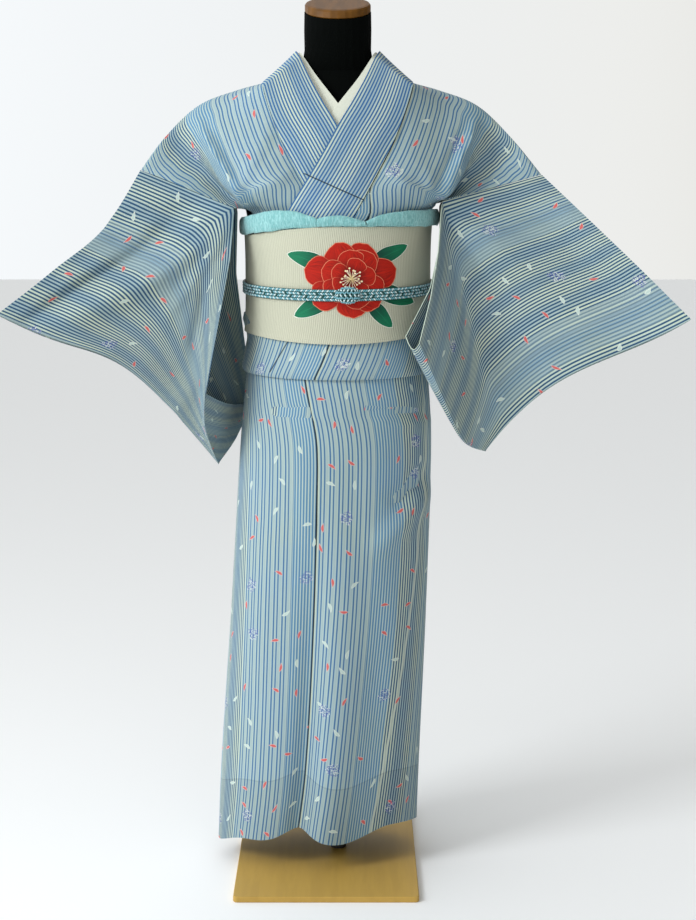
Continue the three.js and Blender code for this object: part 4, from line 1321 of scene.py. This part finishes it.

# %% [markdown]
# ## Build the garment
# The body lengths, the overlaps and the sleeves are creased, and each grid is measured, thickened and tied
# to the body in place of its node of the frame. The body lengths and the overlaps take the same creases, as
# cloth on cloth does, so that an outer layer isn't pierced by the one below it. The weave starts from a
# piece's own edge, which is why an overlap's lengths are turned round.

# %% Creases of the skirt and the chest
# x, z to x, z, width, depth
SKIRT_CREASES = [
    (-100, 706, -15, 705, 8, -3.2), (-15, 705, 134, 684, 8, -5), (-15, 719, 134, 700, 10, 2.6),
    (134, 577, 61, 505, 18, -9), (128, 615, 84, 560, 16, 5),
    (-60, 660, -44, 520, 14, 1.8), (24, 640, 30, 420, 20, 1.6), (88, 420, 76, 250, 18, -2.2),
    (-110, 520, -120, 300, 20, 1.8), (60, 330, 52, 160, 22, 2.0),
]
CHEST_CREASES = [
    (-140, 1030, -96, 1110, 9, -3.5), (-132, 1012, -60, 1060, 8, -3), (-128, 1040, -70, 1130, 9, 2.6),
    (132, 1012, 70, 1056, 8, -3), (140, 1026, 92, 1100, 9, -3.5), (128, 1040, 78, 1126, 9, 2.6),
    (-211, 1136, -130, 1004, 6, -8), (-198, 1136, -118, 1006, 8, 4),
    (202, 1124, 150, 1017, 6, -8), (190, 1122, 138, 1018, 8, 4), (189, 1070, 160, 1020, 7, -5),
]


# %% Tie a piece to the frame
def dress(obj, node=None, material=None):
    """Gives a piece its material, hides the node of the frame that it stands for, if any, and ties it to the
    body.
    """
    if material:
        obj.data.materials.append(material)
    if node:
        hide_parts(node)
    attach(obj, "root")
    return obj


def cut(grid, ring=False):
    """The flat width and length of a grid's cloth, in metres."""
    across, along = lengths(grid, ring)
    width = across[:, -1].mean() / 1000
    return round(float(width), 4), round(float(area_of(grid, ring) / width), 4)


# %% Body, overlaps and collars
grids = {
    "body_left": body_panel(True),
    "body_right": body_panel(False),
    "overlap_left": overlap(True),
    "overlap_right": overlap(False),
    "collar": collar_grid(LAST_STATION, LAST_STATION),
    "half_collar": half_collar_grid(),
}
grids["collar_cover"] = moved(collar_grid(COVER_END, COVER_END), (COLLAR_CLOTH + CLOTH) / 2 + 0.3)
for name, grid in grids.items():
    layer = name.startswith(("body", "overlap"))
    if layer:
        grid = creased(grid, SKIRT_CREASES + CHEST_CREASES, 3, ripple=0.5)
    across, along = lengths(grid)
    if name.startswith("overlap"):
        across = across[:, -1:] - across
    wall = shell(name + "_cloth", grid, COLLAR_CLOTH if name == "collar" else CLOTH, uv=(across, along))
    obj = dress(wall, name, CLOTHS.get(name, WHITE_MATERIAL))
    print(name, grid.shape, "cut", cut(grid))

# %% Sleeves
for left in (True, False):
    name = "sleeve_left" if left else "sleeve_right"
    grid = sleeve(left)
    across, along = lengths(grid, ring=True)
    wall = shell(name + "_cloth", grid, CLOTH, uv=(along, across), ring=True)
    obj = dress(wall, name, CLOTHS[name])
    print(name, grid.shape, "cut", cut(grid, ring=True))

# %% Sash, bow and scarf
sash_ring = sash_grid()
sash = dress(shell("sash_wrap", sash_ring, SASH_CLOTH, ring=True), "sash", SASH_MATERIAL)
for node, name, grid, thick, held in (
    ("sash_drum", "drum_loop", strip(DRUM, DRUM_HALF_WIDTH), DRUM_CLOTH, "folded"),
    ("sash_tail", "drum_tail", strip(TAIL, DRUM_HALF_WIDTH - 3), DRUM_CLOTH, "hung"),
    ("sash_hand", "sash_hand_cloth", hand_grid(), HAND_CLOTH, "folded"),
):
    obj = dress(shell(name, grid, thick), node, SASH_MATERIAL)
    print(name, "cut", cut(grid))
# node, table, side, distance out, half depth, seed
for node, table, sign, out, deep, seed in (
    ("scarf_left", SCARF_LEFT, 1, 15, 3.8, 1.0),
    ("scarf_right", SCARF_RIGHT, -1, 15, 3.8, 5.0),
    ("scarf_middle", SCARF_MIDDLE, 0, 15.5, 4.4, 9.0),
):
    roll = tube(node + "_roll", scarf(table, sign, out, deep, seed))
    obj = dress(roll, node, SCARF_MATERIAL)

# %% [markdown]
# ## Painted flower
# The sash carries a painted flower. This one is a plain generic bloom with five leaves. A picture could
# be laid on the cloth, but shapes keep crisp edges at any size, so each petal is a thin face just above
# the cloth, on a slightly larger one that shows as its pale outline.

# %% Paints
PAINT_OUT = SASH_OUT + SASH_CLOTH / 2 + 0.35
BLOOM_AT = (20.0, 902.0)
# each paint's dark and light tone
PAINTS = {
    "petal_red": (srgb(92, 6, 4), srgb(184, 28, 8)),
    "petal_edge": (srgb(178, 60, 36), srgb(232, 132, 100)),
    "leaf_edge": (srgb(226, 228, 214), srgb(236, 238, 226)),
    "leaf_green": (srgb(6, 62, 50), srgb(22, 122, 84)),
    "stamen_cream": (srgb(240, 214, 150), srgb(252, 240, 220)),
}


def painted(name, dark, light):
    """Streaks from the base of each shape to its tip; a light vein where the v is near zero."""
    material, n, shader = cloth_base(name, 0.7, 0.0)
    place = n.cloth()
    xy = n.xyz(place)
    streak = n.noise(n.vector("MULTIPLY", place, (2.0, 14.0, 0)), 1.6, 2.0, "2D")
    tone = n.math("MULTIPLY", n.ease(xy["X"], 0.1, 0.9), n.ease(streak, 0.25, 0.6, 0.45, 1.0))
    vein = n.ease(n.math("ABSOLUTE", xy["Y"]), 0.02, 0.09, 1.0, 0.0)
    tone = n.math("MINIMUM", n.math("ADD", tone, n.math("MULTIPLY", vein, 0.35)), 1.0)
    n.put(shader.inputs["Base Color"], n.mix(tone, dark, light))
    return material


# %% One petal or leaf
BLADE_ALONG, BLADE_ACROSS = 16, 8  # faces of a petal or leaf


def blade(at, turn, length, width, tip, lift, wave, seed):
    """One petal or leaf as points and faces on the sash; tip moves its widest place outwards."""
    random.seed(seed)
    phase = random.uniform(0, 6.28)
    c, s = math.cos(rad(turn)), math.sin(rad(turn))
    points, uvs, faces = [], [], []
    for k in steps(BLADE_ALONG):
        half = width / 2 * math.sin(math.pi * k**tip) ** 0.62
        curl = 0.05 * length * math.sin(2.6 * k) * (phase - 3.1) / 3.1
        for share in steps(BLADE_ACROSS):
            side = 2 * share - 1
            rough = 1 + wave * math.sin(9 * k + phase + 2 * side) * abs(side)
            notch = -0.07 * length * bell(side, 0.22) * smooth((k - 0.8) / 0.2) * (wave > 0.04)
            far, off = length * k + notch, half * side * rough + curl
            x, z = at[0] + far * c - off * s, at[1] + far * s + off * c
            points.append(on_front(x, z, PAINT_OUT + lift))
            uvs.append((1000 * k, 1000 * side))
    row = BLADE_ACROSS + 1
    for i in range(BLADE_ALONG):
        for j in range(BLADE_ACROSS):
            a = i * row + j
            faces.append((a, a + row, a + row + 1, a + 1))
    return points, uvs, faces


# %% The whole bloom
# from the middle: x, z, turn, length, width
BLOOM_LEAVES = [
    (34, -14, -22, 62, 26), (26, -34, -48, 50, 22), (-30, -26, 208, 60, 25), (-30, 14, 163, 66, 24),
    (30, 24, 24, 56, 22),
]
# petals, length, width, first turn
PETAL_RINGS = [(7, 68, 44, 12), (6, 50, 38, 40), (5, 34, 28, 5)]
STAMENS = 22


def bloom_shapes():
    """Place, turn, length, width, widest place, wave, paint and seed of every blade, from the lowest up."""
    x, z = BLOOM_AT
    shapes = []
    for k, (dx, dz, turn, length, width) in enumerate(BLOOM_LEAVES):
        shapes.append(((x + dx, z + dz), turn, length, width, 0.8, 0.03, "leaf_green", 40 + k))
    for ring, (count, length, width, start) in enumerate(PETAL_RINGS):
        for k in range(count):
            turn = start + 360 * k / count + 7 * math.sin(3 * k + ring)
            flat = (1 - 0.16 * abs(math.sin(rad(turn)))) * (1 + 0.07 * math.sin(5 * k + ring))
            shapes.append(((x, z), turn, length * flat, width, 1.7, 0.09, "petal_red", 60 + 10 * ring + k))
    return shapes


def bloom():
    """Every shape lies on a slightly larger one in its edge's paint, and each a little above the last."""
    points, uvs, faces, slots = [], [], [], []
    names = list(PAINTS)

    def add(part, paint):
        start = len(points)
        points.extend(part[0])
        for face in part[2]:
            faces.append(tuple(start + k for k in face))
            uvs.extend(part[1][k] for k in face)
            slots.append(names.index(paint))

    lift = 0.0
    for at, turn, length, width, tip, wave, paint, seed in bloom_shapes():
        edge, longer, step = ("petal_edge", 0.9, 0.04) if paint == "petal_red" else ("leaf_edge", 1.2, 0.0)
        lift += step
        add(blade(at, turn, length + longer, width + 1.6, tip, lift, wave, seed), edge)
        lift += 0.05
        add(blade(at, turn, length, width, tip, lift, wave, seed), paint)
    random.seed(7)
    for k in range(STAMENS):
        turn, reach = 360 * k / STAMENS + random.uniform(-6, 6), random.uniform(9, 17)
        add(blade(BLOOM_AT, turn, reach, 0.8, 1.0, lift + 0.1, 0.0, k), "stamen_cream")
        end = (BLOOM_AT[0] + reach * math.cos(rad(turn)) - 1.6, BLOOM_AT[1] + reach * math.sin(rad(turn)))
        add(blade(end, 0, 3.2, 2.6, 1.0, lift + 0.2, 0.0, k), "stamen_cream")
    obj = new_mesh("painted_flower", points, faces, uvs)
    for name, (dark, light) in PAINTS.items():
        obj.data.materials.append(painted(name, dark, light))
    obj.data.polygons.foreach_set("material_index", slots)
    return dress(obj)


flower = bloom()
print("sash cut", cut(sash_ring, ring=True), "flower", len(flower.data.polygons), "faces")

# %% [markdown]
# ## Braided cord
# The cord is a flat braid whose threads slant to and fro in four columns, knotted at the front. Its turns
# could be drawn in a bump, but its edge would stay straight, so oval links are laid on a thin core.
# Geometry Nodes put one link on each point, turned by the point's attribute, because the links repeat by
# the hundred.

# %% Sizes and material of the cord
CORD_WIDTH = 17
CORE_CLOTH = 2.2
LINK_STEP = 3.3
LINK_LONG, LINK_THICK = 0.0026, 0.0013  # half sizes in metres
LINK_LEAN = 38  # degrees from the cord's direction, to either side
COLUMNS = 4
KNOT_AT = vec(15, -(body(CORD_Z, DF) + CORD_OUT + CORD_DEPTH / 2) - 5.4, CORD_Z + 1)
# the knot's core: x, half height, half depth
KNOT = [(-17, 5, 2.5), (-13, 8.5, 4.5), (-5, 10.5, 6), (6, 10.2, 6), (13, 8, 4.5), (17, 5, 2.5)]


def braid_material():
    material, n, shader = cloth_base("braid", 0.45, 0.15)
    shade = n.add("ShaderNodeAttribute", attribute_name="shade").outputs["Fac"]
    teal = n.mix(n.ease(shade, 0.0, 0.45), srgb(18, 74, 70), srgb(104, 162, 174))
    n.put(shader.inputs["Base Color"], n.mix(n.ease(shade, 0.5, 1.0), teal, srgb(206, 226, 228)))
    return material


BRAID = braid_material()


# %% The tree that lays links on points
def link_nodes():
    """Puts one oval link on each point, turned by the point's attribute."""
    tree = bpy.data.node_groups.new("braid_links", "GeometryNodeTree")
    tree.interface.new_socket(name="Geometry", in_out="INPUT", socket_type="NodeSocketGeometry")
    for size in ("Length", "Thickness"):
        tree.interface.new_socket(name=size, in_out="INPUT", socket_type="NodeSocketFloat")
    tree.interface.new_socket(name="Geometry", in_out="OUTPUT", socket_type="NodeSocketGeometry")
    n = Nodes(tree)
    start, end = tree.nodes.new("NodeGroupInput"), tree.nodes.new("NodeGroupOutput")
    ball = n.add("GeometryNodeMeshUVSphere", {"Segments": 8, "Rings": 5, "Radius": 1.0})
    thickness = start.outputs["Thickness"]
    scale = n.add("ShaderNodeCombineXYZ", {"X": start.outputs["Length"], "Y": thickness, "Z": thickness})
    oval = n.add("GeometryNodeTransform", {"Geometry": ball.outputs[0], "Scale": scale.outputs[0]})
    points = n.add("GeometryNodeMeshToPoints", {"Mesh": start.outputs["Geometry"]})
    turn = n.add("GeometryNodeInputNamedAttribute", {"Name": "turn"}, data_type="FLOAT_VECTOR")
    spin = n.add("FunctionNodeEulerToRotation", {"Euler": turn.outputs[0]})
    place = n.add("GeometryNodeInstanceOnPoints", {
        "Points": points.outputs[0], "Instance": oval.outputs[0], "Rotation": spin.outputs[0]})
    real = n.add("GeometryNodeRealizeInstances", {"Geometry": place.outputs[0]})
    paint = n.add("GeometryNodeSetMaterial", {"Geometry": real.outputs[0], "Material": BRAID})
    smooth_all = n.add("GeometryNodeSetShadeSmooth", {"Geometry": paint.outputs[0]})
    n.put(end.inputs["Geometry"], smooth_all.outputs[0])
    return tree


def turned_to(along, out, lean):
    """Euler angles that lay a link along the surface, leaning from the cord's direction."""
    up = unit(np.cross(out, along))
    first = along * math.cos(rad(lean)) + up * math.sin(rad(lean))
    second = np.cross(out, first)
    return Matrix([[first[k], second[k], out[k]] for k in range(3)]).to_euler()


def links(name, places, **sizes):
    """A mesh of links at (point, along, outwards, lean, shade) places."""
    mesh = bpy.data.meshes.new(name + "_points")
    mesh.from_pydata([tuple(p[0] / 1000) for p in places], [], [])
    mesh.attributes.new("turn", "FLOAT_VECTOR", "POINT")
    mesh.attributes.new("shade", "FLOAT", "POINT")
    turns = [component for _, along, out, lean, _ in places for component in turned_to(along, out, lean)]
    mesh.attributes["turn"].data.foreach_set("vector", turns)
    mesh.attributes["shade"].data.foreach_set("value", [p[4] for p in places])
    source = placed(name + "_points", mesh)
    modifier = source.modifiers.new("links", "NODES")
    modifier.node_group = LINK_TREE
    for size, value in sizes.items():
        modifier[LINK_TREE.interface.items_tree[size].identifier] = value
    bpy.context.view_layer.update()
    seen = source.evaluated_get(bpy.context.evaluated_depsgraph_get())
    plain = bpy.data.meshes.new_from_object(seen)
    bpy.data.objects.remove(source)
    return placed(name, plain)


LINK_TREE = link_nodes()


# %% Where the links lie
def cord_places():
    """Every link round the waist, in slanting columns; the shade picks dark, middle and light threads."""
    def middle(angle):
        return on_body(angle, cord_z(angle), CORD_OUT + 0.6)

    places = []
    line = [middle(a) for a in ROUND]
    around = sum(np.linalg.norm(b - a) for a, b in zip(line, line[1:] + line[:1]))
    count = round(around / LINK_STEP)
    for i in range(count):
        angle = 360 * i / count - 180
        at = middle(angle)
        along = unit(middle(angle + 1) - at)
        out = unit(np.cross(along, vec(0, 0, 1)))
        up = np.cross(out, along)
        for column in range(COLUMNS):
            off = up * (column - (COLUMNS - 1) / 2) * CORD_WIDTH / COLUMNS
            ahead = along * (0.5 * LINK_STEP * (column % 2))
            stitch = (i + 2 * column) % 7
            shade = 0.0 if stitch == 0 and column in (1, 2) else (1.0 if stitch in (2, 4, 6) else 0.5)
            places.append((at + off + ahead, along, out, LINK_LEAN if column % 2 else -LINK_LEAN, shade))
    return places


def knot_places():
    """Links wrapped on the front half of the knot: a band down the middle over a crossing one."""
    places = []
    for i in range(-4, 5):
        for j in range(-7, 8):
            a, b = rad(20 * i), rad(11.5 * j)
            ball = vec(math.sin(b) * math.cos(a), -math.cos(b) * math.cos(a), math.sin(a))
            out = unit(ball / vec(18, 8, 12))
            upright = abs(j) < 4
            along = unit(vec(0, 0, 1) - out * out[2]) if upright else unit(vec(1, 0, 0) - out * out[0])
            shade = (0.0, 0.55, 1.0, 0.55)[(i + 2 * j) % 4]
            lean = LINK_LEAN if (i + j) % 2 else -LINK_LEAN
            places.append((KNOT_AT + ball * vec(18, 7.5, 11.5), along, out, lean, shade))
    return places


# %% Core, knot and links
core = np.array([
    [on_body(a, cord_z(a) + (t - 0.5) * CORD_WIDTH, CORD_OUT - 0.4) for a in ROUND] for t in steps(4)
])
dress(shell("cord_core", core, CORE_CLOTH, ring=True), "cord", BRAID)
turns = [2 * math.pi * k / 24 for k in range(24)]
knot = np.array([
    [KNOT_AT + vec(x, -deep * math.sin(w), high * math.cos(w)) for w in turns] for x, high, deep in KNOT
])
dress(tube("knot_core", knot), "cord_knot", BRAID)
for name, places in (("cord_links", cord_places()), ("knot_links", knot_places())):
    obj = dress(links(name, places, Length=LINK_LONG, Thickness=LINK_THICK))
    print(name, len(places), "links", len(obj.data.polygons), "faces")

# %% [markdown]
# ## Floor and light
# The garment stands in a bright room with its window on the left. One strong lamp would draw hard shadows
# in the folds, so the world gives most of the light, brighter and cooler from the left, with one large
# lamp on that side and a weak one on the other. The pale floor sends some of it back up.

# %% Floor, world and lamps
FLOOR_HALF = 14
LIT_AT = Vector((0, 0, 0.8))
# name, place, power, size, colour
LIGHTS = [
    ("key", (-2.4, -1.8, 2.3), 62, 1.2, (0.93, 0.97, 1.0)),
    ("fill", (2.4, -1.4, 1.6), 2, 1.6, (1.0, 0.94, 0.84)),
]


def lay_floor():
    mesh = bpy.data.meshes.new("floor")
    corners = [(x * FLOOR_HALF, y * FLOOR_HALF, 0) for x, y in ((-1, -1), (1, -1), (1, 1), (-1, 1))]
    mesh.from_pydata(corners, [], [(0, 1, 2, 3)])
    floor = placed("floor", mesh)
    pale, _, shader = material_base("pale_floor", 0.9, 0.5)
    shader.inputs["Base Color"].default_value = (0.93, 0.93, 0.93, 1)
    floor.data.materials.append(pale)


def light_world():
    """Brighter and cooler from the left, dimmer and warmer from the right."""
    world = bpy.data.worlds.new("studio")
    bpy.context.scene.world = world
    world.use_nodes = True
    n = Nodes(world.node_tree)
    side = n.xyz(n.add("ShaderNodeTexCoord").outputs["Generated"])["X"]
    back = world.node_tree.nodes["Background"]
    tone = n.mix(n.ease(side, -0.2, 0.8), (0.95, 0.98, 1.0, 1), (1.0, 0.94, 0.8, 1))
    n.put(back.inputs["Color"], tone)
    strength = n.math("MULTIPLY", n.ease(side, -1.0, 0.15, 1.35, 0.88), n.ease(side, 0.12, 0.6, 1.0, 0.1))
    n.put(back.inputs["Strength"], strength)


lay_floor()
light_world()
for name, place, power, size, color in LIGHTS:
    light = bpy.data.lights.new(name, "AREA")
    light.energy = power
    light.size = size
    light.color = color
    obj = placed(name, light)
    obj.location = place
    obj.rotation_euler = (LIT_AT - Vector(place)).to_track_quat("-Z", "Y").to_euler()
print(len(LIGHTS), "lamps")
